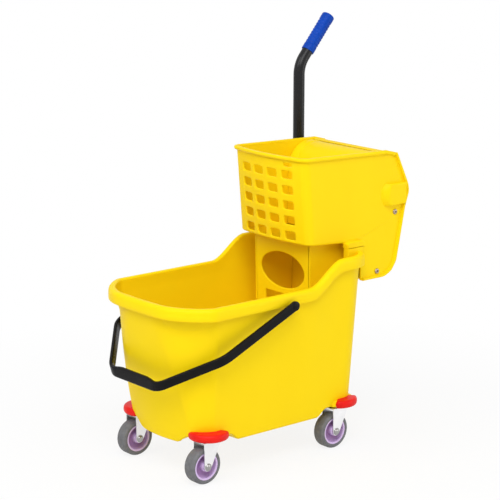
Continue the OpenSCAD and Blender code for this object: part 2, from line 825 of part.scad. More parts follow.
module press_plate() {
    gussets = [-0.86 * press_half_w, -0.3 * press_half_w, 0.3 * press_half_w, 0.86 * press_half_w];
    color("gold") at_wringer() translate([shaft_u, 0, shaft_v]) difference() {
        union() {
            slab(-press_half_w, press_half_w) press_section(band_t, band_t + press_t);
            both_sides() slab(press_half_w - band_w, press_half_w) press_section(0, band_t + 1);
            for (y = gussets) slab(y - gusset_t / 2, y + gusset_t / 2) gusset_outline();
            rod([0, 0], hub_r, -0.9 * press_half_w, 0.9 * press_half_w);
        }
        rod([0, 0], shaft_d / 2, -200, 200);
        plate_bolt_shanks(seat_gap / 2, 40);
    }
}

bolt_d = 6;
module plate_bolt_shanks(grow, reach) {
    both_sides() translate([-reach, 0.6 * press_half_w, 0]) rotate([0, 90, 0])
        cylinder(d = bolt_d + 2 * grow, h = 2 * reach);
}

module press_shaft() {
    color("silver") at_wringer() translate([shaft_u, 0, shaft_v]) difference() {
        rod([0, 0], shaft_d / 2, -casing_half_w + 3, lever_y + tube_d / 2 + socket_t + 2);
        plate_bolt_shanks(seat_gap / 2, 40);
        translate([0, lever_y, 0]) rotate([0, 90, 0]) cylinder(d = bolt_d + seat_gap, h = 100, center = true);
    }
}

module plate_bolts() {
    color("lightgray") at_wringer() translate([shaft_u, 0, shaft_v]) {
        plate_bolt_shanks(0, hub_r + 5);
        for (x = [-hub_r - 4, hub_r]) both_sides()
            translate([x, 0.6 * press_half_w, 0]) rotate([0, 90, 0]) cylinder(r = bolt_d, h = 4, $fn = 6);
    }
}

module near_bush() {
    color("whitesmoke") at_wringer() difference() {
        rod([shaft_u, shaft_v], shaft_d / 2 + bush_t - seat_gap / 2, -casing_half_w + 2 + seat_gap, -casing_half_w + 2 + bush_l);
        rod([shaft_u, shaft_v], shaft_d / 2 + run_gap, -casing_half_w, -casing_half_w + 30);
    }
}

module far_bush() {
    color("whitesmoke") at_wringer() difference() {
        union() {
            rod([shaft_u, shaft_v], shaft_d / 2 + bush_t - seat_gap / 2, casing_half_w - bush_l, casing_half_w + 2);
            rod([shaft_u, shaft_v], bush_flange_r, casing_half_w, casing_half_w + 2);
        }
        rod([shaft_u, shaft_v], shaft_d / 2 + run_gap, casing_half_w - 30, casing_half_w + 30);
    }
}

// Lever: socket on the shaft's far end, bent tube, grip and the two cross bolts
module at_lever() {
    at_wringer() translate([shaft_u, lever_y, shaft_v]) children();
}

socket_r = tube_d / 2 + socket_t;
socket_inner_y = casing_half_w + 2 + pass_gap - lever_y;
bolt_up = socket_h - 18;

module lever_socket() {
    color("#202022") at_lever() difference() {
        union() {
            cylinder(r = socket_r, h = socket_h);
            rod([0, 0], socket_r, socket_inner_y, socket_r);
        }
        translate([0, 0, tube_seat]) cylinder(d = tube_d + 2 * run_gap, h = socket_h);
        rod([0, 0], shaft_d / 2 + run_gap, -100, 100);
        for (z = [0, bolt_up]) translate([0, 0, z]) rotate([0, 90, 0]) cylinder(d = bolt_d + seat_gap, h = 100, center = true);
    }
}

// A round bar along the lever's line: upright, round the bend, then straight to the tip.
// Each station is [x, z, lean]
function lever_line(from, tip) =
    let (
        steps = 10,
        bend = [
            for (i = [0 : steps])
                let (a = lever_bend * i / steps)
                [bend_r * (1 - cos(a)), lever_l + bend_r * sin(a), a]
        ]
    )
    concat([[0, from, 0]], bend, [bend[steps] + tip * [sin(lever_bend), cos(lever_bend), 0]]);

module lever_bar(d, from, tip) {
    skin([
        for (p = lever_line(from, tip))
            [for (a = arc([0, 0], d / 2, 0, 351, 39)) [p.x + a.x * cos(p.z), a.y, p.y - a.x * sin(p.z)]]
    ]);
}

module at_bend_end() {
    translate([bend_r * (1 - cos(lever_bend)), 0, bend_r * sin(lever_bend)]) rotate([0, lever_bend, 0]) children();
}

module lever_tube() {
    color("#18181a") at_lever() difference() {
        lever_bar(tube_d, tube_seat, tube_tip);
        lever_bar(tube_d - 2 * tube_wall, tube_seat - 1, tube_tip + 1);
        translate([0, 0, bolt_up]) rotate([0, 90, 0]) cylinder(d = bolt_d + seat_gap, h = 100, center = true);
    }
}

module lever_grip() {
    r = grip_d / 2;
    start = tube_tip + grip_end - grip_l;
    ridges = 9;
    color("royalblue") at_lever() translate([0, 0, lever_l]) at_bend_end() rotate_extrude() polygon(concat(
        [[0, tube_tip + seat_gap], [tube_d / 2 + run_gap, tube_tip + seat_gap], [tube_d / 2 + run_gap, start]],
        [[r - 1, start], [r, start + 1]],
        [for (i = [0 : ridges - 1]) for (k = [0 : 3])
            [k == 1 || k == 2 ? r - 0.8 : r, start + 14 + (i + k / 4) * (grip_l - 30) / ridges]],
        arc([r - grip_round, tube_tip + grip_end - grip_round], grip_round, 0, 90, 8),
        [[0, tube_tip + grip_end]]
    ));
}

module lever_bolts() {
    color("lightgray") at_lever() for (z = [0, bolt_up]) translate([0, 0, z]) rotate([0, 90, 0]) {
        cylinder(d = bolt_d, h = 2 * socket_r + 14, center = true);
        for (x = [-socket_r - 4, socket_r]) translate([0, 0, x]) cylinder(r = bolt_d, h = 4, $fn = 6);
    }
}

module place() {
    translate([-middle_x, 0, 0]) children();
}

place() bucket();
place() caster_stems();
for (i = [0 : 3]) {
    place() bumper(corners[i]);
    place() fork(corners[i]);
    place() axle(corners[i]);
    place() bush(corners[i]);
    place() hub(corners[i]);
    place() tyre(corners[i]);
}
place() bail_handle();
place() bail_pins();
place() wringer_casing();
place() splash_panel();
place() rear_cover();
place() cover_screws();
place() press_plate();
place() press_shaft();
place() plate_bolts();
place() near_bush();
place() far_bush();
place() lever_socket();
place() lever_tube();
place() lever_grip();
place() lever_bolts();
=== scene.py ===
import math

import bmesh
import bpy
import numpy as np
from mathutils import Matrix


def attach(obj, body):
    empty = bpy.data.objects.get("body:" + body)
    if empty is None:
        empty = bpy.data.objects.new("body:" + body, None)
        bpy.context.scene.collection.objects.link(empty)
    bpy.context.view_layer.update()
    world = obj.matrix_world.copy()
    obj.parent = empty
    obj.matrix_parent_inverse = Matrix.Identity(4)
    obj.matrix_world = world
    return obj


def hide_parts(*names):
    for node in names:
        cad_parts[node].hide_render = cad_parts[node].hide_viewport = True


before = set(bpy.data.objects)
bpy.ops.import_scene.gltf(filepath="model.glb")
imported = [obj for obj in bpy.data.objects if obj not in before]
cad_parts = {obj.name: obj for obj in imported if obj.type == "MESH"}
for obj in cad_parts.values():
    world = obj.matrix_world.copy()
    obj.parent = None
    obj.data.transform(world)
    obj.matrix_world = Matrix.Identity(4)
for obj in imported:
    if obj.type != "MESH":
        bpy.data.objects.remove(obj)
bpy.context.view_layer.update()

# Tub: one injection-moulded polypropylene shell with a hollow rolled lip, raised rear shoulders,
# a pocket in each lower corner for a caster, a round ear over each pocket and two posts on the rear rim
# that the wringer sits on. All its lengths are in millimetres from the middle of the wheelbase.
middle_x = 70.654
base_z = 75
rim_z = 373
shoulder_h = 49
lip_h = 25
tub_wall = 4
pocket_h = 16.5
ear_z = base_z + pocket_h
ear_h = 14
swivels = [(x, y) for x in (-151, 199) for y in (-114, 114)]
ears = [(-151, -109), (-151, 109), (202, -109), (202, 109)]


class Socket:
    """One value in a material's node tree.

    Arithmetic on it adds Math nodes, and node() adds any other node.
    """

    def __init__(self, tree, socket=None):
        self.tree = tree
        self.socket = socket

    def node(self, kind, settings, inputs, output=0):
        """Adds a node: its settings first, then the value or link of each socket, and gives one output."""
        made = self.tree.nodes.new(kind)
        for name, value in settings.items():
            setattr(made, name, value)
        for name, value in inputs.items():
            if isinstance(value, Socket):
                self.tree.links.new(value.socket, made.inputs[name])
            else:
                made.inputs[name].default_value = value
        return Socket(self.tree, made.outputs[output])

    def math(self, operation, first, second=0.0):
        """One Math node on two values."""
        return self.node("ShaderNodeMath", {"operation": operation}, {0: first, 1: second})

    def __add__(self, other):
        return self.math("ADD", self, other)

    def __sub__(self, other):
        return self.math("SUBTRACT", self, other)

    def __rsub__(self, other):
        return self.math("SUBTRACT", other, self)

    def __mul__(self, other):
        return self.math("MULTIPLY", self, other)

    __radd__ = __add__
    __rmul__ = __mul__

    def noise(self, scale, detail=3.0, roughness=0.5):
        """Noise of so many lumps per metre over these coordinates, from 0 to 1."""
        inputs = {"Vector": self, "Scale": scale, "Detail": detail, "Roughness": roughness}
        return self.node("ShaderNodeTexNoise", {}, inputs)

    def stretched(self, x, y, z):
        """These coordinates scaled along each axis, so that a pattern is drawn out."""
        return self.node("ShaderNodeMapping", {}, {"Vector": self, "Scale": (x, y, z)})

    def band(self, low, high):
        """0 below low, 1 above high and a straight ramp between."""
        inputs = {"Value": self, "From Min": low, "From Max": high}
        return self.node("ShaderNodeMapRange", {"clamp": True}, inputs)

    def tint(self, low, high):
        """A colour from low to high as this value goes from 0 to 1."""
        return self.node("ShaderNodeMix", {"data_type": "RGBA"}, {0: self, 6: (*low, 1), 7: (*high, 1)}, 2)


def finish(name, shade, rough, **fixed):
    """A new material with a Principled shader and its constant settings, and its Object coordinates."""
    material = bpy.data.materials.new(name)
    material.use_nodes = True
    shader = material.node_tree.nodes["Principled BSDF"]
    shader.inputs["Base Color"].default_value = (*shade, 1)
    shader.inputs["Roughness"].default_value = rough
    for socket, value in fixed.items():
        shader.inputs[socket.replace("_", " ")].default_value = value
    place = Socket(material.node_tree).node("ShaderNodeTexCoord", {}, {}, "Object")
    return material, shader, place


def feed(shader, socket, value):
    """Links a value to one of the shader's sockets."""
    value.tree.links.new(value.socket, shader.inputs[socket])


def relief(shader, height, depth):
    """Bumps the surface by a height from 0 to 1 that stands for depth metres."""
    bump = height.node("ShaderNodeBump", {}, {"Height": height, "Distance": depth, "Strength": 1.0})
    feed(shader, "Normal", bump)


def moulded(name, pale, deep, rough):
    """Injection-moulded plastic: fine grain, faint flow marks, a little sink and hairline scuffs."""
    material, shader, place = finish(name, pale, rough, IOR=1.49, Specular_IOR_Level=0.07)
    flow = place.stretched(1, 1, 0.35).noise(9, 4, 0.55)
    grain = place.noise(1500, 2, 0.6)
    scuff = place.stretched(60, 60, 3).noise(9, 2, 0.7).band(0.67, 0.78)
    cross = place.stretched(4, 4, 70).noise(8, 2, 0.7).band(0.7, 0.8)
    feed(shader, "Base Color", flow.band(0.3, 0.7).tint(deep, pale))
    feed(shader, "Roughness", rough - 0.05 + flow * 0.1 + grain * 0.05 + scuff * 0.07 + cross * 0.07)
    relief(shader, grain * 0.6 + place.noise(30, 2) * 0.4, 0.00016)
    return material


yellow = moulded("yellow_polypropylene", (0.985, 0.715, 0.005), (0.975, 0.695, 0.004), 0.38)


def to_part(points):
    """Millimetres from the middle of the wheelbase become metres in the part's frame."""
    return (np.asarray(points, float) - (middle_x, 0, 0)) * 0.001


def skin(points, ring=False, tube=False, caps=False):
    """Faces over a grid of points.

    Columns are joined round if ring, rows are joined round if tube, and end rows are closed if caps.
    """
    rows, columns = points.shape[:2]
    r = np.arange(rows if tube else rows - 1)[:, None]
    c = np.arange(columns if ring else columns - 1)[None, :]
    r_next = (r + 1) % rows
    c_next = (c + 1) % columns
    corners = [r * columns + c, r * columns + c_next, r_next * columns + c_next, r_next * columns + c]
    faces = np.stack(corners, -1).reshape(-1, 4).tolist()
    if caps:
        faces += [list(range(columns))[::-1], list(range((rows - 1) * columns, rows * columns))]
    return points.reshape(-1, 3), faces


def piece(name, shells, material, body, slot, *nodes, crease=35):
    """One finished object from shells in millimetres.

    Seams and poles are closed, faces point outwards, and edges up to the crease angle are smooth.
    """
    points = np.concatenate([p for p, _ in shells])
    starts = np.cumsum([0] + [len(p) for p, _ in shells])
    faces = [[start + i for i in face] for (_, shell), start in zip(shells, starts) for face in shell]
    mesh = bpy.data.meshes.new(name)
    mesh.from_pydata(to_part(points), [], faces)
    work = bmesh.new()
    work.from_mesh(mesh)
    bmesh.ops.remove_doubles(work, verts=work.verts, dist=2e-6)
    bmesh.ops.recalc_face_normals(work, faces=work.faces)
    work.to_mesh(mesh)
    work.free()
    mesh.shade_smooth()
    mesh.set_sharp_from_angle(angle=math.radians(crease))
    mesh.materials.append(material)
    made = bpy.data.objects.new(name, mesh)
    bpy.context.scene.collection.objects.link(made)
    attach(made, body)
    if nodes:
        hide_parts(*nodes)
    return made


def lerp(a, b, t):
    """A share t of the way from a to b."""
    return a + (b - a) * t


def ease(t):
    """0 to 1 in an S."""
    t = np.clip(t, 0, 1)
    return t * t * (3 - 2 * t)


# Round the tub's plan, each point is a corner centre plus a radius at an angle. For each point: its place
# from front to rear and from near to far, the angle, which of a nose corner's two arcs it is on, how far
# along that arc it is, and which way the corner turns.
quarter = np.linspace(0, 90, 21)[:-1]
along = np.linspace(0, 1, 73)[:-1]
across = np.linspace(-1, 1, 21)[:-1]
swept = np.concatenate([np.linspace(0, 1, 17), np.linspace(0, 1, 9)[:-1]])
tight = np.concatenate([np.zeros(17), np.ones(8)])
far_swept = np.append(swept, 1)[:0:-1]
far_tight = np.append(tight, 1)[:0:-1]
turns = [
    (0, -1, 180, tight, swept, 1),
    (along, -1, 270, 1, 0, 0),
    (1, -1, 270 + quarter, 1, 0, 0),
    (1, across, 360, 1, 0, 0),
    (1, 1, quarter, 1, 0, 0),
    (1 - along, 1, 90, 1, 0, 0),
    (0, 1, 180, far_tight, far_swept, -1),
    (0, -across, 180, 0, 0, 0),
]
turns = zip(*(np.broadcast_arrays(*turn) for turn in turns))
lengthwise, sidewise, angle, tightness, sweep, corner_way = (np.concatenate(part) * 1.0 for part in turns)
base_half, rim_half = 125, 156
base_nose, nose_rake = -170, 58
base_rear, rim_rear = 233, 250
base_nose_r, rim_nose_r, lip_nose_r = 36, 162, 106
base_turn, rim_turn, lip_turn = 68, 50, 58
base_crease_r, rim_crease_r = 20, 16
base_rear_r, rim_rear_r = 30, 60
base_bulge, rim_bulge = 28, 13


def tub_plan(t, out, square=0.0):
    """Plan of the tub at share t of the wall's height, grown by out.

    The nose is bulged, and its corners turn on a wide arc, then on a tight one that makes a soft crease
    against the side. The sides are straight and the rear corners round. The wide arc grows with height and
    ends sooner; square draws it in again, as the lip has it.
    """
    half = lerp(base_half, rim_half, t) + out
    nose = base_nose - nose_rake * t - out
    rear = lerp(base_rear, rim_rear, t) + out
    wide_r = lerp(lerp(base_nose_r, rim_nose_r, np.clip(t, 0, 1) ** 1.8), lip_nose_r, square) + out
    soft_turn = lerp(lerp(base_turn, rim_turn, t), lip_turn, square)
    tight_r = lerp(base_crease_r, rim_crease_r, t) + out
    rear_r = lerp(base_rear_r, rim_rear_r, t) + out
    r = lerp(lerp(wide_r, tight_r, tightness), rear_r, lengthwise)
    step = (wide_r - tight_r) * tightness
    front_x = nose + wide_r - step * np.cos(np.radians(soft_turn))
    front_y = half - tight_r - ((wide_r - tight_r) - step) * np.sin(np.radians(soft_turn))
    turn = angle + corner_way * lerp(sweep * soft_turn, soft_turn + sweep * (90 - soft_turn), tightness)
    x = lerp(front_x, rear - rear_r, lengthwise) + r * np.cos(np.radians(turn))
    y = sidewise * lerp(front_y, half - rear_r, lengthwise) + r * np.sin(np.radians(turn))
    share = np.clip((nose + 0.8 * wide_r - x) / (0.8 * wide_r), 0, 1)
    return x - lerp(base_bulge, rim_bulge, t) * share * (1 - (y / half) ** 2), y


pocket_r = 69
pocket_slope = 24


def soffit(x, y, grow=0):
    """Height of the underside: flat, with a soft-edged cone pocket over each caster."""
    height = np.full(np.shape(x), float(base_z))
    for sx, sy in swivels:
        share = (pocket_r + grow - np.hypot(x - sx, y - sy)) / pocket_slope
        height = np.maximum(height, base_z + pocket_h * ease(share))
    return height


shoulder_x, shoulder_run = 75, 93
foot_r, floor_r = 6, 10
lip = [
    (0, 8), (0.6, 5), (2, 3.4), (6, 3.4), (7.6, 4.6), (8, 7), (8, 24), (8.4, 25), (9.5, 25.4), (10.6, 25),
    (11, 24), (11.2, 17), (11, 10), (10.6, 6.8), (9.6, 4), (8, 1.9), (6, 0.6), (3.5, 0), (0, 0),
    (-2, 0.5), (-3.3, 1.7), (-3.9, 3.6), (-4, 6),
]


def tub_rows():
    """Rings from the underside's middle out, up the wall, over the lip, down inside and over the floor."""
    crest = rim_z + shoulder_h * ease((tub_plan(1, 0, 1)[0] - shoulder_x) / shoulder_run)
    top = crest - lip_h
    rows = []

    def wall_share(z):
        """A height as a share of the wall's own height, which is more at the shoulders."""
        return (z - base_z) / (top - base_z)

    def foot(grow, out):
        """The share of the wall's height at which it meets the underside or the floor."""
        share = np.zeros(len(angle))
        for _ in range(12):
            share = wall_share(soffit(*tub_plan(share, out), grow))
        return share

    def flat(out, grow, lift):
        """Rings that shrink towards the middle over the underside or the floor."""
        x, y = tub_plan(foot(grow, out), out)
        rings = [(40 + q * (x - 40), q * y) for q in np.linspace(0, 1, 26)[:-1] ** 0.8]
        return [(rx, ry, soffit(rx, ry, grow) + lift) for rx, ry in rings]

    def bend(out, grow, lift, radius, way):
        """The rounded edge between wall and underside, or wall and floor."""
        share = foot(grow, out) + lift / (top - base_z)
        rings = []
        for turn in np.linspace(0, math.pi / 2, 7)[::way]:
            inward = radius * (1 - math.cos(turn))
            x, y = tub_plan(share, out - inward)
            rings.append((x, y, soffit(x, y, grow) + lift + radius * (1 - math.sin(turn))))
        return rings

    low = foot(0, 0) + foot_r / (top - base_z)
    rows += flat(-foot_r, 0, 0)
    rows += bend(0, 0, 0, foot_r, -1)
    for k in np.linspace(0, 1, 40)[1:]:
        share = lerp(low, 1, k)
        rows.append((*tub_plan(share, 0), lerp(base_z, top, share)))
    for out, down in lip:
        rows.append((*tub_plan(1, out, 1), crest - down))
    low = foot(tub_wall, -tub_wall) + (tub_wall + floor_r) / (top - base_z)
    for k in np.linspace(1, 0, 40)[:-1]:
        share = lerp(low, 1, k)
        square = ease((share - 0.75) / 0.25)
        rows.append((*tub_plan(share, -tub_wall, square), lerp(base_z, top, share)))
    rows += bend(-tub_wall, tub_wall, tub_wall, floor_r, 1)
    rows += flat(-tub_wall - floor_r, tub_wall, tub_wall)[::-1]
    return np.stack([np.stack(row, -1) for row in rows])


def turned(profile, origin, axis, steps=64):
    """A profile of (radius, distance along the axis) turned round an axis through origin."""
    axis = np.asarray(axis, float) / np.linalg.norm(axis)
    side = np.cross(axis, (1, 0, 0) if abs(axis[0]) < 0.9 else (0, 0, 1))
    side /= np.linalg.norm(side)
    round_ = np.linspace(0, 2 * math.pi, steps, endpoint=False)
    spokes = np.cos(round_)[:, None] * side + np.sin(round_)[:, None] * np.cross(axis, side)
    profile = np.asarray(profile, float)
    points = np.asarray(origin) + profile[:, 0, None, None] * spokes + profile[:, 1, None, None] * axis
    return skin(points, ring=True)


def paired(profile, origin, steps):
    """A profile turned round an axis across the object, near and far, each pointing outwards."""
    return [turned(profile, np.asarray(origin) * (1, s, 1), (0, s, 0), steps) for s in (-1, 1)]


def block(low, high, radius, steps=5):
    """A box with round edges: a sphere's points, each moved out by its signs to a corner of a smaller box."""
    low, high = np.asarray(low, float), np.asarray(high, float)
    up = np.concatenate([np.linspace(-90, -1e-4, steps), np.linspace(1e-4, 90, steps)])
    turn = np.concatenate([np.linspace(q + 1e-4, q + 90 - 1e-4, steps) for q in (0, 90, 180, 270)])
    up, turn = np.radians(up)[:, None], np.radians(turn)[None, :]
    normal = np.stack([np.cos(up) * np.cos(turn), np.cos(up) * np.sin(turn), np.sin(up) + 0 * turn], -1)
    points = (low + high) / 2 + np.where(normal >= 0, 1, -1) * ((high - low) / 2 - radius) + radius * normal
    return skin(points, ring=True, caps=True)


ear_profile = [
    (0, 0), (33, 0), (34, 1), (34, ear_h - 1), (33.3, ear_h), (26, ear_h + 0.2), (22, ear_h + 0.6),
    (0, ear_h + 0.8),
]
tub_shells = [skin(tub_rows(), ring=True)]
tub_shells += [turned(ear_profile, (x, y, ear_z), (0, 0, 1), 72) for x, y in ears]
post_y, post_half = 118, 8
for y in (-post_y, post_y):
    tub_shells.append(block((213, y - post_half, 398), (255, y + post_half, 429), 1.2))
boss_profile = [(0, 0), (8, 0), (8, 13), (7.5, 14.2), (6.5, 14.5), (0, 14.5)]
tub_shells += paired(boss_profile, (18, 153, 350), 48)
piece("tub", tub_shells, yellow, "bucket", "bucket", "bucket")

# Corner bumpers: soft red vinyl, a C section clipped round the outer edge of each caster ear,
# half round outside, with its two ends rounded off against the walls.
red, red_shader, place = finish("red_vinyl", (0.80, 0.012, 0.008), 0.36, IOR=1.5, Specular_IOR_Level=0.16)
mottle = place.noise(40, 3)
feed(red_shader, "Base Color", mottle.band(0.3, 0.7).tint((0.72, 0.008, 0.006), (0.84, 0.014, 0.009)))
feed(red_shader, "Roughness", 0.3 + mottle * 0.12 + place.noise(900, 2) * 0.06)
relief(red_shader, place.noise(700, 2), 0.0001)
bead_r = 34.2
bead_out, bead_up = 8, 8.6
bead_z = ear_z + 7
collar_r = 31.2
end_r = 7
root_r = 35.5


def bumper(x, y, spans):
    """A closed section carried round the ear from angle to angle, its top tucked into the wall.

    It is drawn in to nothing at both ends, on a quarter circle.
    """
    bead = np.radians(np.linspace(-90, 90, 17))
    out = bead_r + bead_out * np.cos(bead) ** 0.75
    up = bead_z + bead_up * np.sign(np.sin(bead)) * np.abs(np.sin(bead)) ** 0.8
    inner_z = ear_z + np.array([16.2, 16.4, 15, 14.4, -0.2, -0.2, -1.6])
    height = np.concatenate([up, inner_z])
    share = np.linspace(0, 1, 49)
    along_arc = np.radians(lerp(spans[0], spans[1], share))
    wall_x, wall_y = tub_plan(0.12, -1.5)
    wall_turn = np.arctan2(wall_y - y, wall_x - x)
    in_turn = np.argsort(wall_turn)
    arc_turn = np.arctan2(np.sin(along_arc), np.cos(along_arc))
    wall_r = np.interp(arc_turn, wall_turn[in_turn], np.hypot(wall_x - x, wall_y - y)[in_turn])
    tuck = np.clip(wall_r, 9, 30)[:, None]
    collar = np.array([collar_r, collar_r]) + 0 * tuck
    radius = np.concatenate([out + 0 * tuck, tuck + 3, tuck, tuck, collar + 3, collar], 1)
    length = np.radians(spans[1] - spans[0]) * 38
    end = np.minimum(share, 1 - share) * length
    size = np.sqrt(np.clip(1 - (1 - np.clip(end / end_r, 0, 1)) ** 2, 0.0004, 1))[:, None]
    r = root_r + (radius - root_r) * size
    z = bead_z + (height - bead_z) * size
    points = np.stack([x + r * np.cos(along_arc)[:, None], y + r * np.sin(along_arc)[:, None], z], -1)
    return skin(points, ring=True, caps=True)


corner_names = ["front_left", "front_right", "rear_left", "rear_right"]
for (x, y), corner in zip(ears, corner_names):
    spans = (40, 214) if x < 0 else (22, 138)
    spans = spans if y > 0 else (-spans[1], -spans[0])
    piece("vinyl_bumper_" + corner, [bumper(x, y, spans)], red, "bucket", "bumper", "bumper_" + corner)

# Casters: a zinc-plated pressed fork on a swivel stem, a bolt and nut for the axle, a nylon bush,
# a lavender polypropylene hub and a grey thermoplastic rubber tyre moulded on to it.
zinc, zinc_shader, place = finish("bright_zinc", (0.86, 0.86, 0.87), 0.3, Metallic=1.0)
cloud = place.noise(55, 4, 0.6)
spangle = place.stretched(1, 1, 0.3).noise(260, 2)
feed(zinc_shader, "Base Color", cloud.tint((0.78, 0.78, 0.79), (0.93, 0.93, 0.94)))
feed(zinc_shader, "Roughness", 0.24 + cloud * 0.16 + spangle * 0.08)
relief(zinc_shader, spangle, 0.00006)

hub_violet, hub_shader, place = finish(
    "lavender_hub", (0.48, 0.33, 0.62), 0.36, IOR=1.49, Specular_IOR_Level=0.3
)
# Painted shade and highlight: the base colour is painted darker over the recessed dish round the hub's middle
# and paler on the rim faces at both ends.
side = place.node("ShaderNodeSeparateXYZ", {}, {0: place}, "Y")
depth = side.math("ABSOLUTE", side.math("ABSOLUTE", side) - 0.114)
flow = place.noise(60, 3)
feed(hub_shader, "Base Color", depth.band(0.0045, 0.0128).tint((0.30, 0.16, 0.36), (0.70, 0.54, 0.84)))
feed(hub_shader, "Roughness", 0.3 + flow * 0.12)
relief(hub_shader, place.noise(1300, 2), 0.0001)
rubber, rubber_shader, place = finish("grey_tyre_rubber", (0.16, 0.16, 0.17), 0.62, IOR=1.5)
dust = place.noise(120, 4, 0.6)
feed(rubber_shader, "Base Color", dust.band(0.3, 0.75).tint((0.115, 0.117, 0.125), (0.175, 0.177, 0.187)))
feed(rubber_shader, "Roughness", 0.52 + dust * 0.18)
relief(rubber_shader, place.noise(1100, 3), 0.00018)
nylon = moulded("white_nylon", (0.80, 0.80, 0.77), (0.75, 0.75, 0.72), 0.42)
steel, steel_shader, place = finish("bright_steel", (0.62, 0.61, 0.60), 0.28, Metallic=1.0)
turning = place.stretched(1, 60, 1).noise(40, 2)
feed(steel_shader, "Base Color", turning.tint((0.32, 0.315, 0.31), (0.42, 0.415, 0.41)))
feed(steel_shader, "Roughness", 0.22 + turning * 0.16)


def outline_inset(outline, inset):
    """The outline drawn in by an inset, with mitred corners; it runs anticlockwise."""
    before = outline - np.roll(outline, 1, 0)
    after = np.roll(outline, -1, 0) - outline
    normals = []
    for run in (before, after):
        run = run / np.maximum(np.linalg.norm(run, axis=1), 1e-9)[:, None]
        normals.append(np.stack([-run[:, 1], run[:, 0]], -1))
    dot = np.sum(normals[0] * normals[1], 1)[:, None]
    return outline + inset * (normals[0] + normals[1]) / np.maximum(1 + dot, 0.3)


def plate(outline, low, high, radius, across="y"):
    """A flat outline given thickness from low to high, its edges rounded by insets on a quarter circle."""
    outline = np.asarray(outline, float)
    ahead = np.roll(outline, -1, 0)
    twice_area = np.sum(outline[:, 0] * ahead[:, 1] - ahead[:, 0] * outline[:, 1])
    outline = outline if twice_area > 0 else outline[::-1]
    turn = np.radians(np.linspace(0, 90, 5))
    steps = [(radius + 0.6, low)]
    steps += [(radius * (1 - math.sin(a)), low + radius * (1 - math.cos(a))) for a in turn]
    steps += [(radius * (1 - math.cos(a)), high - radius * (1 - math.sin(a))) for a in turn]
    steps += [(radius + 0.6, high)]
    rings = []
    for inset, level in steps:
        flat = outline_inset(outline, inset)
        level = np.full(len(flat), level)
        order = (flat[:, 0], level, flat[:, 1]) if across == "y" else (flat[:, 0], flat[:, 1], level)
        rings.append(np.stack(order, -1))
    return skin(np.stack(rings), ring=True, caps=True)


def softened(outline, cut, steps=6):
    """An outline whose corners are each replaced by a curve that leaves the corner by the cut length."""
    outline = np.asarray(outline, float)
    cut = np.broadcast_to(np.asarray(cut, float), len(outline))[:, None]
    back = np.roll(outline, 1, 0) - outline
    ahead = np.roll(outline, -1, 0) - outline
    length_back = np.linalg.norm(back, axis=1)[:, None]
    length_ahead = np.linalg.norm(ahead, axis=1)[:, None]
    start = outline + back / length_back * np.minimum(cut, length_back * 0.45)
    end = outline + ahead / length_ahead * np.minimum(cut, length_ahead * 0.45)
    t = np.linspace(0, 1, steps + 1)[None, :, None]
    start, middle, end = start[:, None], outline[:, None], end[:, None]
    points = lerp(lerp(start, middle, t), lerp(middle, end, t), t).reshape(-1, 2)
    return points[np.linalg.norm(points - np.roll(points, 1, 0), axis=1) > 1e-6]


def circle(x, z, r, start, stop, steps):
    """Points of a circle's arc between two angles."""
    a = np.radians(np.linspace(start, stop, steps))
    return np.stack([x + r * np.cos(a), z + r * np.sin(a)], -1)


wheel_z = 38
wheel_trail = 20
fork_top = 89.1
fork_half = 17.5
fork_front = 14
crown_half = 17
sheet_t = 2.5
eye_r = 9
leg_run, leg_rise = fork_front + wheel_trail, fork_top - wheel_z
leg_touch = math.degrees(math.atan2(leg_rise, leg_run) - math.acos(eye_r / math.hypot(leg_run, leg_rise)))
hub_profile = [
    (5.6, -14.6), (9.6, -14.6), (10.3, -14), (10.5, -12), (11, -6.5), (12.5, -4.6), (16, -4), (21, -4.6),
    (24.2, -7.4), (25, -11), (25.3, -12.6), (26, -13.2), (28.6, -13.2), (29, -12.8),
]
hub_profile += [(r, -a) for r, a in hub_profile[::-1]] + [hub_profile[0]]
shoulders = np.radians(np.concatenate([np.linspace(-90, -8, 8), np.linspace(8, 90, 8)]))
tread = [(32 + 5.94 * math.cos(a), math.copysign(8.2, a) + 5.8 * math.sin(a)) for a in shoulders]
tyre_profile = [(29, 13.2), (29, -13.2), (29.6, -13.9)] + tread + [(29.6, 13.9), (29, 13.2)]
dome_profile = [(0, 87.6), (15.5, 87.6), (16.6, 88.2), (17, 89.0), (16, 89.4), (0, 89.4)]
bolt_profile = [
    (0, -22.7), (2.6, -22.6), (4.6, -22.1), (5.8, -21.2), (6.2, -20), (7.6, -19.9), (8, -19.5), (8, -18.6),
    (4, -18.6), (4, 18.6), (8, 18.6), (8, 19.5), (7.6, 19.9), (4, 19.9), (4, 24), (3.4, 24.7), (0, 24.7),
]
nut_points, nut_faces = plate(circle(0, 0, 7.5, 0, 300, 6), 19.6, 23.2, 0.7)


def recoat(node, material):
    """Gives a CAD node whose shape is kept one of these finishes."""
    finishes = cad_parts[node].data.materials
    finishes.clear()
    finishes.append(material)


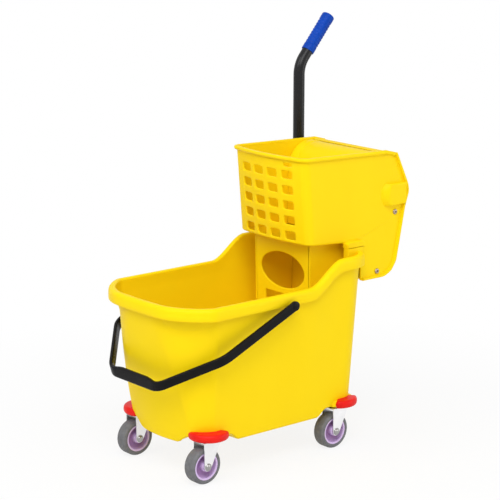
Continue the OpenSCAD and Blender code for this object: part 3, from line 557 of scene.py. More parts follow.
for (sx, sy), corner in zip(swivels, corner_names):
    caster, wheel = "caster_" + corner, "wheel_" + corner
    axle = np.array([sx - wheel_trail, sy, wheel_z])
    low_x, high_x = axle[0] - eye_r, sx + fork_front
    leg = np.concatenate([
        [(high_x, fork_top), (low_x, fork_top)],
        circle(axle[0], wheel_z, eye_r, 180, 360 + leg_touch, 20),
    ])
    leg_y = [sy + s * fork_half for s in (-1, 1)]
    shells = [plate(leg, y - sheet_t / 2, y + sheet_t / 2, 0.7) for y in leg_y]
    low_y, high_y = sy - crown_half, sy + crown_half
    crown = softened([(low_x, low_y), (high_x, low_y), (high_x, high_y), (low_x, high_y)], 3)
    shells.append(plate(crown, fork_top - sheet_t, fork_top, 1, "z"))
    shells.append(turned(dome_profile, (sx, sy, 0), (0, 0, 1), 48))
    piece("pressed_fork_" + corner, shells, zinc, caster, "zinc", "fork_" + corner)
    shells = [turned(bolt_profile, axle, (0, 1, 0), 40), (nut_points + axle, nut_faces)]
    piece("axle_bolt_" + corner, shells, steel, caster, "zinc", "axle_" + corner)
    shells = [turned(hub_profile, axle, (0, 1, 0), 96)]
    piece("wheel_centre_" + corner, shells, hub_violet, wheel, "hub", "hub_" + corner)
    shells = [turned(tyre_profile, axle, (0, 1, 0), 96)]
    piece("rubber_tyre_" + corner, shells, rubber, wheel, "tyre", "tyre_" + corner)
    recoat("bush_" + corner, nylon)

# Bail: a black polypropylene strap with round pivot eyes at both rims, carried round the nose,
# with a taller grip in the middle. Its two pins are black nylon rivets in bosses under the lip.
black, black_shader, place = finish(
    "black_polypropylene", (0.006, 0.006, 0.007), 0.3, IOR=1.49, Specular_IOR_Level=0.1
)
grain = place.noise(1400, 2)
rub = place.noise(35, 4, 0.6)
feed(black_shader, "Base Color", rub.band(0.35, 0.8).tint((0.005, 0.0045, 0.005), (0.008, 0.0075, 0.008)))
feed(black_shader, "Roughness", 0.2 + rub * 0.05 + grain * 0.05)
relief(black_shader, grain, 0.00014)
bail_pivot = np.array([18.0, 178.0, 350.0])
arm_reach, arm_slope = 200, 23.5
grip_reach, grip_slope, grip_half = 308, 27.3, 77
strap_half, strap_tall, grip_tall = 4.1, 10, 5


def rounded_path(points, cut, steps):
    """A path whose inner corners are each replaced by a curve that leaves the corner by the cut length."""
    parts = [points[:1]]
    t = np.linspace(0, 1, steps)[:, None]
    for a, b, c in zip(points[:-2], points[1:-1], points[2:]):
        p = b + cut * (a - b) / np.linalg.norm(a - b)
        q = b + cut * (c - b) / np.linalg.norm(c - b)
        parts.append(lerp(lerp(p, b, t), lerp(b, q, t), t))
    parts.append(points[-1:])
    return np.concatenate(parts)


def evenly(path, count):
    """The path again, as so many points at equal lengths along it."""
    run = np.concatenate([[0], np.cumsum(np.linalg.norm(np.diff(path, axis=0), axis=1))])
    at = np.linspace(0, run[-1], count)
    return np.stack([np.interp(at, run, path[:, i]) for i in range(path.shape[1])], -1)


def bail_point(reach, slope, y):
    """A point at so much reach from the pivots' line, forward and down by the slope."""
    slope = math.radians(slope)
    return np.array([bail_pivot[0] - reach * math.cos(slope), y, bail_pivot[2] - reach * math.sin(slope)])


near_arm = [bail_point(reach, arm_slope, -bail_pivot[1]) for reach in (0, arm_reach)]
near_arm.append(bail_point(grip_reach, grip_slope, -grip_half))
bail_corners = np.array(near_arm + [point * (1, -1, 1) for point in near_arm[::-1]])
bail_path = evenly(rounded_path(bail_corners, 17, 14), 261)
bail_along = np.gradient(bail_path, axis=0)
bail_along /= np.linalg.norm(bail_along, axis=1)[:, None]
twist_y, twist_run = 100, 50
grip_share = ease((twist_y - np.abs(bail_path[:, 1])) / twist_run)[:, None]
bail_up = lerp(np.array([-0.43, 0, 0.9]), np.array([0, 0, 1.0]), grip_share)
bail_up = bail_up - np.sum(bail_up * bail_along, axis=1)[:, None] * bail_along
bail_up /= np.linalg.norm(bail_up, axis=1)[:, None]
bail_out = np.cross(bail_up, bail_along)
section = np.radians(np.linspace(0, 360, 32, endpoint=False))
swell = ease((grip_half - np.abs(bail_path[:, 1])) / 40)[:, None]
round_out = np.sign(np.cos(section)) * np.abs(np.cos(section)) ** 0.45
round_up = np.sign(np.sin(section)) * np.abs(np.sin(section)) ** 0.45
tall = (strap_tall + grip_tall * swell * (round_up > 0)) * round_up
sideways = strap_half * round_out[None, :, None] * bail_out[:, None]
strap = bail_path[:, None] + sideways + tall[..., None] * bail_up[:, None]
eye_profile = [(0, -4.5), (8.4, -4.5), (9.5, -4), (10, -3), (10, 3), (9.5, 4), (8.4, 4.5), (0, 4.5)]
bail_shells = [skin(strap, ring=True, caps=True)]
bail_shells += paired(eye_profile, bail_pivot, 48)
piece("bail_strap", bail_shells, black, "bail", "bail", "bail_handle")
pin_profile = [(0, 4.9), (7, 4.9), (6.6, 5.5), (5, 5.85), (0, 5.9)]
pins = paired(pin_profile, bail_pivot, 40)
shank = [(0, -24), (4, -24), (4, 5), (0, 5)]
pins += paired(shank, bail_pivot, 40)
piece("bail_rivets", pins, black, "bucket", "bail", "bail_pins")

# Wringer casing: a yellow polypropylene moulding that hooks over the tub's rear rim. Its front wall is bowed,
# leans back as it goes down and has drain holes; a rolled bead runs round the top; the side plates carry on
# to the rear with a raised border, a pad over the press pivot, hook lugs and two skirts below.
seat_x, seat_z = 261, 422
casing_half = 112
casing_top = 206
front_u = -176
casing_wall = 4
lean = math.radians(5)
bow_r = 415
corner_r = 20
hole_w, hole_h, hole_r = 28, 18, 4
pitch_y, pitch_v = 42, 32.5
first_drop = 35
row_tops = np.array([casing_top - first_drop - k * pitch_v for k in range(5)])
floor_v = 25
floor_fall = math.tan(math.radians(4))
top_rise = 4.5
top_fall = math.tan(math.radians(1.8))
seam_u = -49
bow_inset = casing_half - corner_r
corner_u = front_u + bow_r - math.sqrt((bow_r - corner_r) ** 2 - bow_inset ** 2)
bow_turn = math.asin(bow_inset / (bow_r - corner_r))


def at_wringer(u, y, v):
    """Points from the wringer's own datum, the tub's rear rim, as points from the middle of the wheelbase."""
    return np.stack(np.broadcast_arrays(seat_x + np.asarray(u, float), y, seat_z + np.asarray(v, float)), -1)


def leaned(a, v):
    """Place along the tub of plan point a at height v: it moves back as the leaning wall goes down."""
    return front_u + a / math.cos(lean) + (casing_top - v) * math.tan(lean)


def top_of(a):
    """Height of the casing's top at plan point a: it falls by 1.8 degrees to the rear."""
    return casing_top + (top_rise - a * top_fall / math.cos(lean)) / (1 - math.tan(lean) * top_fall)


def foot_of(a):
    """Height of the casing's lower edge, which falls by 4 degrees to the rear."""
    drop = casing_top - floor_v + a * floor_fall / math.cos(lean)
    return casing_top - drop / (1 - math.tan(lean) * floor_fall)


block_half = 2 * pitch_y
cell_steps = 12
block_y = np.linspace(-block_half, block_half, 4 * cell_steps + 1)
row_edges = np.concatenate([[200, row_tops[0] + pitch_v / 2 - 2], (row_tops[1:] + row_tops[:-1]) / 2, [28.5]])
# Each hole: its column and row of cells, its middle, and its width, height and corner radius. The last is
# the small slot above the nearest column.
windows = [
    (c, r + 1, (c - 1.5) * pitch_y, row_tops[r], hole_w, hole_h, hole_r) for c in range(4) for r in range(5)
]
windows.append((0, 0, -67, casing_top - 13.5, 22, 9, 3))
cell_rows = [np.linspace(a, b, cell_steps + 1)[:-1] for a, b in zip(row_edges[:-1], row_edges[1:])]
block_v = np.concatenate(cell_rows + [row_edges[-1:]])


def casing_columns(out):
    """Plan of the casing's wall grown by out, from the near corner round the bowed front to the far one."""
    corner = np.linspace(1.5 * math.pi, math.pi + bow_turn, 15)
    near_u = corner_u + (corner_r + out) * np.cos(corner)
    near_y = -bow_inset + (corner_r + out) * np.sin(corner)
    edge = math.asin(block_half / (bow_r + out))
    bow = math.pi + np.linspace(bow_turn, edge, 5)[1:-1]
    bow_u = front_u + bow_r + (bow_r + out) * np.cos(bow)
    bow_y = (bow_r + out) * np.sin(bow)
    middle_u = front_u + bow_r - np.sqrt((bow_r + out) ** 2 - block_y ** 2)
    half_u, half_y = np.concatenate([near_u, bow_u]), np.concatenate([near_y, bow_y])
    u = np.concatenate([half_u, middle_u, half_u[::-1]])
    return u - front_u, np.concatenate([half_y, block_y, -half_y[::-1]])


side_shares = np.linspace(1, 0, 15)[:-1]


def wall_row(out, v_of):
    """One row of the casing wall at heights given by v_of(a): sides back to the seam, corners and front."""
    a, y = casing_columns(out)
    end = a[0]
    for _ in range(4):
        end = (seam_u - front_u - (casing_top - v_of(end)) * math.tan(lean)) * math.cos(lean)
    side = lerp(a[0], end, side_shares)
    a = np.concatenate([side, a, side[::-1]])
    y = np.concatenate([0 * side + y[0], y, 0 * side + y[-1]])
    v = v_of(a) + 0 * a
    return at_wringer(leaned(a, v), y, v)


foot_edge = 9


def wall_rows():
    """Rows of the casing wall: round its lower edge, up outside, over the top and down inside."""
    rows = [wall_row(-foot_edge - more, foot_of) for more in (6, 0)]
    for turn in np.radians(np.linspace(90, 0, 7)):
        rise = foot_edge / 2 * (1 - math.sin(turn))
        rows.append(wall_row(-foot_edge * (1 - math.cos(turn)), lambda a: foot_of(a) + rise))
    low = len(rows)
    rows += [wall_row(0, lambda a: 0 * a + v) for v in block_v[::-1]]
    high = len(rows) - 1
    for k in (0.35, 0.7, 1):
        rows.append(wall_row(0, lambda a: lerp(block_v[0], top_of(a) - 1.5, k)))
    for k in (1, 0.7, 0.35):
        rows.append(wall_row(-casing_wall, lambda a: lerp(block_v[0], top_of(a) - 1.5, k)))
    low_inner = len(rows)
    rows += [wall_row(-casing_wall, lambda a: 0 * a + v) for v in block_v]
    rows.append(wall_row(-casing_wall, lambda a: foot_of(a) + casing_wall))
    return np.stack(rows), (low, high), (low_inner, low_inner + len(block_v) - 1)


def front_wall(y, v, out):
    """A point of the bowed front at sideways place y and height v, on the wall grown by out."""
    a = bow_r - np.sqrt((bow_r + out) ** 2 - y ** 2)
    return at_wringer(leaned(a, v), y, v)


def drain_cells():
    """Each hole's cell: rings from its edge to the hole's rounded edge, through the wall and out again."""
    run = np.linspace(-1, 1, cell_steps + 1)[:-1]
    square_y = np.concatenate([0 * run + 1, -run, 0 * run - 1, run])
    square_v = np.concatenate([run, 0 * run + 1, -run, 0 * run - 1])

    def hole(width, height, radius, grow):
        """A grown rectangle's points, those in its corners drawn in to a circle."""
        half = np.array([width, height]) / 2 + grow
        edge = np.stack([square_y, square_v], -1) * half
        inner = np.clip(edge, -(half - radius - grow), half - radius - grow)
        off = edge - inner
        length = np.linalg.norm(off, axis=1)[:, None]
        return inner + off / np.maximum(length, 1e-9) * np.minimum(length, radius + grow)

    rings = [
        (1.6, 0), (1.0, -0.1), (0.45, -0.5), (0.1, -1.1), (0, -1.8), (0, -3.4), (0.5, -3.9),
        (0.9, -casing_wall),
    ]
    cells = []
    for column, row, middle_y, middle_v, width, height, radius in windows:
        edge_y = (column - 1.5) * pitch_y + square_y * pitch_y / 2
        edge_v = lerp(row_edges[row + 1], row_edges[row], (square_v + 1) / 2)
        points = [front_wall(edge_y, edge_v, 0)]
        for grow, out in rings:
            flat = hole(width, height, radius, grow)
            points.append(front_wall(middle_y + flat[:, 0], middle_v + flat[:, 1], out))
        points.append(front_wall(edge_y, edge_v, -casing_wall))
        cells.append(skin(np.stack(points), ring=True))
    return cells


wall_points, outer_span, inner_span = wall_rows()
points, faces = skin(wall_points)
columns = wall_points.shape[1]
first_column = (columns - len(block_y)) // 2
corner_index = np.array([face[0] for face in faces])
face_row, face_column = corner_index // columns, corner_index % columns
cell_column = (face_column - first_column) // cell_steps
open_cells = np.zeros((len(row_edges) + 1, 6), bool)
for column, row, *_ in windows:
    open_cells[row, column] = True
cell_row = np.full(len(faces), -1)
outside = (face_row >= outer_span[0]) & (face_row < outer_span[1])
inside = (face_row >= inner_span[0]) & (face_row < inner_span[1])
cell_row[outside] = (outer_span[1] - 1 - face_row[outside]) // cell_steps
cell_row[inside] = (face_row[inside] - inner_span[0]) // cell_steps
keep = ~open_cells[cell_row, np.clip(cell_column, -1, 4)]
casing_shells = [(points, [face for face, kept in zip(faces, keep) if kept])]
casing_shells += drain_cells()

# The casing's rolled bead, carried round the top from one rear corner to the other
top_corner_u, rear_corner = 70, (99, casing_top - 11)


def slope_top(u):
    """Height of the side plates' top edge: a long fall to the rear, then a steeper one to the rear corner."""
    long_fall = casing_top + top_rise - (np.asarray(u, float) - front_u) * top_fall
    crest = casing_top + top_rise - (top_corner_u - front_u) * top_fall
    share = (u - top_corner_u) / (rear_corner[0] - top_corner_u)
    return np.minimum(long_fall, lerp(crest, rear_corner[1], share))


bead_end, bead_bend = 93, 62
lip_section = [
    (-4.2, 5), (-4.2, 1.6), (-3.6, 0.5), (-2.4, 0), (1.5, 0), (3.6, 0.25), (5.1, 1), (5.9, 2.3), (6.1, 4),
    (5.8, 6), (5.0, 7.4), (3.8, 8), (2.2, 8), (0.8, 8.6), (-0.2, 10), (-2, 10),
]


def lip_rows():
    """The bead's section at each plan point, grown by its offset and lowered from the casing's top."""
    rows = []
    for out, down in lip_section:
        a, y = casing_columns(out)
        v = top_of(a) - down
        u = leaned(a, v)
        rear, fore = np.linspace(bead_end, bead_bend, 12), np.linspace(bead_bend, u[0], 31)
        side = np.concatenate([rear[:-1], fore[:-1]])
        fall = slope_top(side) - down
        u = np.concatenate([side, u, side[::-1]])
        y = np.concatenate([0 * side + y[0], y, 0 * side + y[-1]])
        v = np.concatenate([fall, v, fall[::-1]])
        rows.append(at_wringer(u, y, v))
    return np.stack(rows, 1)


casing_shells.append(skin(lip_rows(), ring=True, caps=True))

# Side plates with border, pad, lug, skirt and pivot boss, the same on both sides
heel_v = -71
rear_path = np.array([
    rear_corner, [133, casing_top - 82], [136, casing_top - 98], [125, casing_top - 130],
    [101, -41], [87, -61], [66, heel_v],
], float)


def wringer_plate(outline, low, high, radius):
    """A plate across the wringer from an outline given from its datum."""
    return plate(np.asarray(outline, float) + (seat_x, seat_z), low, high, radius)


def mirrored(shell):
    """The same shell on the other side."""
    return shell[0] * (1, -1, 1), [face[::-1] for face in shell[1]]


def beside(path, distance):
    """The path moved to its right by a distance."""
    run = np.gradient(path, axis=0)
    run /= np.linalg.norm(run, axis=1)[:, None]
    return path + distance * np.stack([run[:, 1], -run[:, 0]], -1)


def border(path, width, height, y):
    """A raised border: a round-shouldered section carried along the inside of a path, standing out from y."""
    profile = [
        (-0.2, -1), (-0.2, height - 1.5), (0.3, height - 0.4), (1.4, height), (width - 1.2, height),
        (width - 0.3, height - 0.4), (width, height - 1.2), (width + 0.2, 0.6), (width + 0.9, 0),
        (width + 0.9, -1),
    ]
    rows = []
    for inset, up in profile:
        flat = beside(path, inset)
        rows.append(at_wringer(flat[:, 0], y + up, flat[:, 1]))
    return skin(np.stack(rows, 1), ring=True, caps=True)


def slope_foot(u):
    """Height of the chamber floor's underside, which falls by 4 degrees to the rear."""
    return floor_v - (u - front_u) * floor_fall


side_outline = np.concatenate([
    [[seam_u - 0.6, slope_top(seam_u) - 1.5], [top_corner_u, slope_top(top_corner_u) - 1.5]], rear_path,
    [[1, heel_v], [1, 7.2], [-48, 7.2], [-48, slope_foot(-48)], [seam_u - 0.6, slope_foot(seam_u)]],
])
rounding = [0, 6, 14, 10, 10, 14, 10, 10, 8, 3, 1, 1, 0, 0]
pad_rear, pad_v = 123, 106
pad_arch, pad_back, pad_end = 34, 31, 24
pad_steps = [
    (-1, 0, 0), (1, 0.6, 0), (7, 7, 0.8), (9.4, 9.2, 1.2), (10.6, 10.6, 2.2), (11, 12.4, 4), (11, 16, 7),
]


def pad_rows():
    """The pad over the press pivot: its outline, arched at the front, drawn back as it stands out."""
    rings = []
    for out, back, inset in pad_steps:
        arch = circle(pad_rear - pad_back + back, pad_v, pad_arch - inset, 225, 135, 25)
        end_u, end_half = pad_rear - 0.2 * inset, pad_end - inset
        flat = np.concatenate([[[end_u, pad_v - end_half]], arch, [[end_u, pad_v + end_half]]])
        rings.append(at_wringer(flat[:, 0], casing_half + out, flat[:, 1]))
    return skin(np.stack(rings), ring=True, caps=True)


panel_u = -123
skirt_v = -130
skirt_in, skirt_out = 84, 88
lug_out = 126
lug_outline = softened([[-48, 7.15], [-2, 7.15], [-2, 20.2], [-48, 20.2]], [0.6, 0.6, 7, 7])
skirt_outline = [
    [panel_u, slope_foot(panel_u) + 1], [-17, slope_foot(-17) + 1], [-21.3, skirt_v], [-120.3, skirt_v],
]
rear_line = evenly(rounded_path(np.concatenate([rear_path, [[4, heel_v]]]), 7, 7), 120)
sides = [
    wringer_plate(softened(side_outline, rounding), casing_half - casing_wall, casing_half, 0.6),
    border(rear_line, 5, 6, casing_half),
    pad_rows(),
    wringer_plate(lug_outline, casing_half - 1, lug_out, 0.9),
    wringer_plate(skirt_outline, skirt_in, skirt_out, 0.3),
]
for shell in sides:
    casing_shells += [shell, mirrored(shell)]
shaft_u, shaft_v = 45, 142
boss = [(13, 108), (18, 108), (18, 100), (17.4, 99), (13, 99), (13, 108)]
shaft_middle = np.array([seat_x + shaft_u, 0, seat_z + shaft_v])
casing_shells += paired(boss, shaft_middle, 48)


def floor_bar(u_low, u_high, y_low, y_high):
    """One rectangle of the chamber's sloping floor."""
    u = np.array([u_low, u_high, u_high, u_low])
    y = np.array([y_low, y_low, y_high, y_high], float)
    foot = slope_foot(u)
    return skin(np.stack([at_wringer(u, y, foot + 0.4), at_wringer(u, y, foot + 4)]), ring=True, caps=True)


slot_w, slot_pitch, slot_half = 9, 16, 70
chamber_half = casing_half - casing_wall
slots = [-55 + i * slot_pitch for i in range(3)]
slots_end = slots[-1] + slot_w
front_a, front_y = casing_columns(-casing_wall - 1)
floor_front = np.stack([leaned(front_a, foot_of(front_a)), front_y], -1)
floor_outline = np.concatenate([floor_front, [[slots[0], front_y[-1]], [slots[0], front_y[0]]]])
foot_v = slope_foot(floor_outline[:, 0])
floor_rings = [at_wringer(floor_outline[:, 0], floor_outline[:, 1], foot_v + up) for up in (0.4, 4)]
casing_shells.append(skin(np.stack(floor_rings), ring=True, caps=True))
casing_shells.append(floor_bar(slots_end, 7, -chamber_half, chamber_half))
casing_shells += [floor_bar(u + slot_w, u + slot_pitch, -slot_half, slot_half) for u in slots[:-1]]
for s in (-1, 1):
    casing_shells.append(floor_bar(slots[0], slots_end, *sorted((s * slot_half, s * chamber_half))))
piece("casing", casing_shells, yellow, "wringer", "wringer", "wringer_casing")

# Splash panel: a thin yellow polypropylene moulding that clips between the casing's skirts, with a flange
# down each side, a large oval window and a wide gap at its foot.
panel_lean = math.radians(1.2)
panel_half = 82.8
panel_t = 4
panel_top = 20.8
gap_half, gap_v = 55, -100.0
oval_v = -49.0
oval_half, oval_tall = 69, 39


def panel_sheet(y, v, deep):
    """Points of the panel's leaning sheet, so deep behind its face."""
    return at_wringer(panel_u + deep - v * math.tan(panel_lean), y, v)


def panel_rows():
    """Rings of the panel: from its edge to the oval's rounded edge, through the sheet and back inside."""
    a = np.linspace(0, 2 * math.pi, 120, endpoint=False)
    way = np.stack([np.cos(a), np.sin(a)], -1)
    edge_low = np.array([-panel_half, gap_v])
    edge_high = np.array([panel_half, panel_top])
    middle = np.array([0, oval_v])
    reach = np.where(way >= 0, edge_high - middle, middle - edge_low) / np.maximum(np.abs(way), 1e-6)
    edge = middle + way * np.min(reach, axis=1)[:, None]
    rings = [(edge, 0)]
    for grow, deep in [(3, 0), (1.4, 0.15), (0.4, 0.7), (0, 1.6), (0, 3.2), (0.8, panel_t)]:
        rings.append((middle + way * (oval_half + grow, oval_tall + grow), deep))
    rings.append((edge, panel_t))
    return np.stack([panel_sheet(flat[:, 0], flat[:, 1], deep) for flat, deep in rings])


def panel_leg(y_low, y_high):
    """One leg of the panel beside its foot gap, in the panel's own leaning plane."""
    y = np.array([y_low, y_high, y_high, y_low])
    v = np.array([skirt_v, skirt_v, gap_v + 0.1, gap_v + 0.1])
    return skin(np.stack([panel_sheet(y, v, deep) for deep in (0, panel_t)]), ring=True, caps=True)


panel_shells = [skin(panel_rows(), ring=True, tube=True)]
panel_shells += [panel_leg(-panel_half, -gap_half), panel_leg(gap_half, panel_half)]
flange_outline = [[-123.4, 20], [-97, 19], [-94, skirt_v], [-120.3, skirt_v]]
flange = wringer_plate(flange_outline, panel_half - 3, panel_half, 0.6)
panel_shells += [mirrored(flange), flange]
piece("splash_guard", panel_shells, yellow, "wringer", "wringer", "splash_panel")

# Rear cover: a yellow polypropylene panel bent round the rear between the side plates, with a thin flap over
# the drum and a cheek at each side, held by four passivated steel screws through the plates.
cover_half, cheek_in = 107.8, 101.8
cover_crest = np.array([top_corner_u, float(slope_top(top_corner_u))])
cover_path = np.concatenate([[cover_crest], rear_path, [[3, heel_v]]])
cover_line = evenly(rounded_path(cover_path, 3.5, 7), 140)
cover_outline = np.concatenate([beside(cover_line, 2), beside(cover_line, 5)[::-1]])
cover_shells = [wringer_plate(cover_outline, -cover_half, cover_half, 0.8)]
# The flap is two wedges that close on the drum. The lower one, between the drum's end bands, is sunk a little
# inside the wide one, so that no two faces share a plane.
drum_end, band_in = 107.3, 84
for half, tip_v, sunk in ((drum_end, 198.2, 0), (band_in - 1, 197.35, 0.3)):
    tip_u, end_u = 61 + sunk, 73 - sunk
    flap = np.array([
        [tip_u, tip_v], [tip_u, 198.8 - sunk], [69.5, 200.7 - sunk], [end_u, 199.6 - sunk],
        [end_u, 197 + sunk],
    ])
    flap_ends = [at_wringer(flap[:, 0], y, flap[:, 1]) for y in (-half, half)]
    cover_shells.append(skin(np.stack(flap_ends), ring=True, caps=True))
cheek = [[120, 76], [96, -39], [83, -57], [66, -66], [32, -65], [36, -47], [87, 56], [91, 76]]
for s in (-1, 1):
    low, high = sorted((s * cheek_in, s * cover_half))
    cover_shells.append(wringer_plate(softened(cheek, 4), low, high, 0.8))
piece("back_cover", cover_shells, yellow, "wringer", "wringer", "rear_cover")


def pan_head(u, v, side):
    """A pan-head screw: a domed head with a shallow recess, standing on the side plate."""
    profile = [(0, 0.6), (2.2, 0.7), (2.5, 2.8), (3.2, 3.0), (4.8, 2.6), (5.7, 1.6), (6, 0.4), (6, 0), (0, 0)]
    return turned(profile, (seat_x + u, side * casing_half, seat_z + v), (0, side, 0), 40)


bronze, bronze_shader, place = finish("passivated_screw", (0.42, 0.34, 0.27), 0.34, Metallic=1.0)
film = place.noise(500, 3)
feed(bronze_shader, "Base Color", film.band(0.3, 0.7).tint((0.26, 0.18, 0.13), (0.58, 0.50, 0.42)))
feed(bronze_shader, "Roughness", 0.26 + film * 0.2)
screws = [pan_head(u, v, s) for u, v in ((99, 66), (48, -57)) for s in (-1, 1)]
piece("pan_screws", screws, bronze, "wringer", "steel", "cover_screws")

# Press: a yellow polypropylene plate with a drum-shaped top, a band at each end and gussets inside,
# bolted to a steel shaft that turns in two nylon bushes.
drum_r = 58
drop = shaft_v - slope_foot(shaft_u - drum_r) - casing_wall - 2


def drum_outline(outer, inner):
    """The press plate's section: straight front, then a drum arc over the shaft, of one thickness."""
    front = np.array([[-drum_r + outer, -drop]])
    back = np.array([[-drum_r + inner, -drop]])
    over = circle(0, 0, drum_r - outer, 180, 20, 60)
    under = circle(0, 0, drum_r - inner, 20, 180, 60)
    return np.concatenate([front, over, under, back]) + (seat_x + shaft_u, seat_z + shaft_v)


drum_half = 104
press_shells = [plate(drum_outline(1, 8), -drum_half, drum_half, 0.8)]
for s in (-1, 1):
    low, high = sorted((s * band_in, s * drum_end))
    press_shells.append(plate(drum_outline(0, 4), low, high, 0.9))
gusset = np.concatenate([
    [[-51, 30 - drop], [-51, 0]], circle(0, 0, 51, 180, 24, 40), [[15, 8], [11, -13], [-15, -21]],
]) + (seat_x + shaft_u, seat_z + shaft_v)
press_shells += [plate(gusset, y - 2, y + 2, 0.6) for y in (-89.4, -31.2, 31.2, 89.4)]
hub_tube = [(10.2, -93.6), (14.4, -93.6), (15, -93), (15, 93), (14.4, 93.6), (10.2, 93.6), (10.2, -93.6)]
press_shells.append(turned(hub_tube, shaft_middle, (0, 1, 0), 48))
piece("press_drum", press_shells, yellow, "press", "wringer", "press_plate")

# Lever: a bent steel tube painted black, bolted in a socket on the shaft's far end,
# with a ribbed blue vinyl grip pushed over its tip.
paint, paint_shader, place = finish(
    "black_paint", (0.010, 0.010, 0.011), 0.26, IOR=1.5, Specular_IOR_Level=0.2
)
peel = place.noise(420, 2)
rub = place.noise(30, 4, 0.6)
feed(paint_shader, "Base Color", rub.tint((0.008, 0.008, 0.009), (0.015, 0.015, 0.016)))
feed(paint_shader, "Roughness", 0.2 + rub * 0.12)
relief(paint_shader, peel, 0.00008)
blue, blue_shader, place = finish("blue_vinyl", (0.004, 0.055, 0.40), 0.42, IOR=1.5, Specular_IOR_Level=0.1)
mottle = place.noise(60, 3)
feed(blue_shader, "Base Color", mottle.band(0.3, 0.7).tint((0.003, 0.048, 0.36), (0.006, 0.062, 0.43)))
feed(blue_shader, "Roughness", 0.36 + mottle * 0.12)
relief(blue_shader, place.noise(1000, 2), 0.00014)
lever_y = 139
lever_l = 197
bend_r, bend_turn = 60, math.radians(40)
tube_r = 12.5
tip_l = 107
lever_foot = np.array([seat_x + shaft_u, lever_y, seat_z + shaft_v], float)
tip_way = np.array([math.sin(bend_turn), 0, math.cos(bend_turn)])
bend_end = np.array([bend_r * (1 - math.cos(bend_turn)), 0, lever_l + bend_r * math.sin(bend_turn)])


def tube_rows(radius):
    """Circles along the lever's centre line: upright, round the bend, then straight to the tip."""
    turn = np.linspace(0, bend_turn, 25)
    bend = np.stack([bend_r * (1 - np.cos(turn)), 0 * turn, lever_l + bend_r * np.sin(turn)], -1)
    line = np.concatenate([[[0, 0, 16]], bend, [bend_end + tip_l * tip_way]])
    tilt = np.concatenate([[0], turn, [bend_turn]])
    a = np.linspace(0, 2 * math.pi, 48, endpoint=False)
    side = np.stack([np.cos(tilt), 0 * tilt, -np.sin(tilt)], -1)
    spokes = np.cos(a)[None, :, None] * side[:, None] + np.sin(a)[None, :, None] * np.array([0, 1.0, 0])
    return lever_foot + line[:, None] + radius * spokes


piece("lever_pipe", [skin(tube_rows(tube_r), ring=True, caps=True)], paint, "press", "lever", "lever_tube")
grip_l, grip_over, grip_r = 97, 5, 14.5
start = tip_l + grip_over - grip_l
rib_start, rib_run, rib_count, rib_depth = start + 14, 67, 9, 0.8
dome_z, dome_r, dome_h = tip_l + 1, 4, 3.96
grip_profile = [(tube_r + 0.05, start + 1), (13.2, start), (14, start + 0.3), (grip_r, start + 1.4)]
ribs = np.linspace(rib_start, rib_start + rib_run, rib_count * 8 + 1)
rib_turn = 2 * math.pi * (ribs - rib_start) * rib_count / rib_run
grip_profile += list(zip(grip_r - rib_depth / 2 * (1 - np.cos(rib_turn)), ribs))
dome_turn = np.radians(np.linspace(0, 90, 9))
grip_profile += [(grip_r - dome_r + dome_r * math.cos(a), dome_z + dome_h * math.sin(a)) for a in dome_turn]
grip_profile += [(0, dome_z + dome_h)]
grip = turned(grip_profile, lever_foot + bend_end, tip_way, 64)
piece("vinyl_grip", [grip], blue, "press", "grip", "lever_grip")
for node, material in {
    "press_shaft": steel, "plate_bolts": zinc, "near_bush": nylon, "far_bush": nylon, "lever_socket": paint,
    "lever_bolts": zinc, "caster_stems": zinc,
}.items():
    recoat(node, material)

# Studio: a pale floor that shows almost white to the camera and keeps a faint shadow, a white backdrop,
# three soft lamps and the camera.
floor_mesh = bpy.data.meshes.new("studio_floor")
floor_mesh.from_pydata([(-6, -6, 0), (6, -6, 0), (6, 6, 0), (-6, 6, 0)], [], [(0, 1, 2, 3)])
floor = bpy.data.objects.new("studio_floor", floor_mesh)
bpy.context.scene.collection.objects.link(floor)
pale = bpy.data.materials.new("pale_floor")
pale.use_nodes = True
tree = pale.node_tree
shader = tree.nodes["Principled BSDF"]
shader.inputs["Base Color"].default_value = (0.9, 0.9, 0.9, 1)
shader.inputs["Roughness"].default_value = 0.9


def seen_rays(tree):
    """1 for rays straight from the camera, by a mirror or through glass, and 0 for rays that only light."""
    paths = tree.nodes.new("ShaderNodeLightPath")
    rays = Socket(tree, paths.outputs["Is Camera Ray"])
    for kind in ("Is Glossy Ray", "Is Transmission Ray"):
        rays = rays.math("MAXIMUM", rays, Socket(tree, paths.outputs[kind]))
    return rays


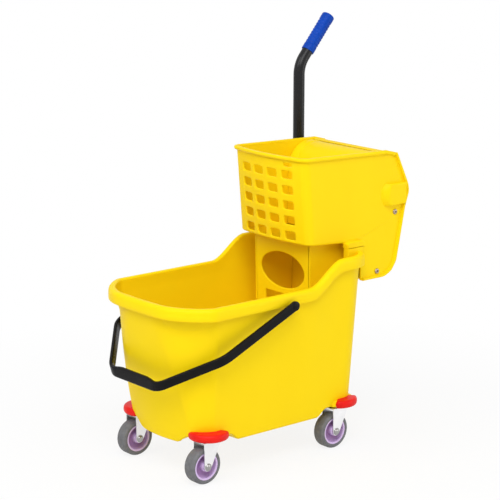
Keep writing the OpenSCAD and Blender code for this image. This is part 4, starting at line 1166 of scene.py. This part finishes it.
near_glow, far_glow = 0.86, 0.14
rays = seen_rays(tree)
away = Socket(tree).node("ShaderNodeTexCoord", {}, {}, "Object")
away = away.node("ShaderNodeVectorMath", {"operation": "LENGTH"}, {0: away}, "Value").band(0.35, 1.1)
glow = Socket(tree).node("ShaderNodeEmission", {}, {"Color": (1, 1, 1, 1), "Strength": 1.0})
share = rays * (near_glow + away * far_glow)
mixed = rays.node("ShaderNodeMixShader", {}, {0: share, 1: Socket(tree, shader.outputs[0]), 2: glow})
tree.links.new(mixed.socket, tree.nodes["Material Output"].inputs["Surface"])
floor_mesh.materials.append(pale)

world = bpy.context.scene.world or bpy.data.worlds.new("studio")
bpy.context.scene.world = world
world.use_nodes = True
tree = world.node_tree
back = tree.nodes["Background"]
back.inputs["Color"].default_value = (1, 1, 1, 1)
lit, seen = 0.45, 1.0
tree.links.new((lit + seen_rays(tree) * (seen - lit)).socket, back.inputs["Strength"])


def soft_lamp(name, place, aim, size, power):
    """A square area lamp at a place, turned to face a point."""
    light = bpy.data.lights.new(name, "AREA")
    light.shape = "SQUARE"
    light.size = size
    light.energy = power
    lamp = bpy.data.objects.new(name, light)
    back_way = np.asarray(place, float) - np.asarray(aim, float)
    lamp.location = place
    tip = math.atan2(math.hypot(back_way[0], back_way[1]), back_way[2])
    lamp.rotation_euler = (tip, 0, math.atan2(back_way[0], -back_way[1]))
    bpy.context.scene.collection.objects.link(lamp)


soft_lamp("key", (2.9, -3.0, 0.9), (0, 0, 0.35), 1.7, 28)
soft_lamp("fill", (-2.4, 0.1, 2.5), (0.05, 0, 0.35), 1.6, 30)
soft_lamp("top", (-1.4, -1.8, 2.8), (0.05, 0, 0.35), 1.8, 60)

camera_data = bpy.data.cameras.new("camera")
camera_data.sensor_width = 36
camera_data.lens = 133.266
camera_data.shift_x = 0.04546
camera_data.shift_y = -0.03074
camera = bpy.data.objects.new("camera", camera_data)
camera.location = (-2.451154, -2.8769, 1.3095)
camera.rotation_euler = (math.radians(90 - 12.68), 0, math.radians(-39.46))
bpy.context.scene.collection.objects.link(camera)
bpy.context.scene.camera = camera
bpy.context.scene.view_settings.view_transform = "Standard"
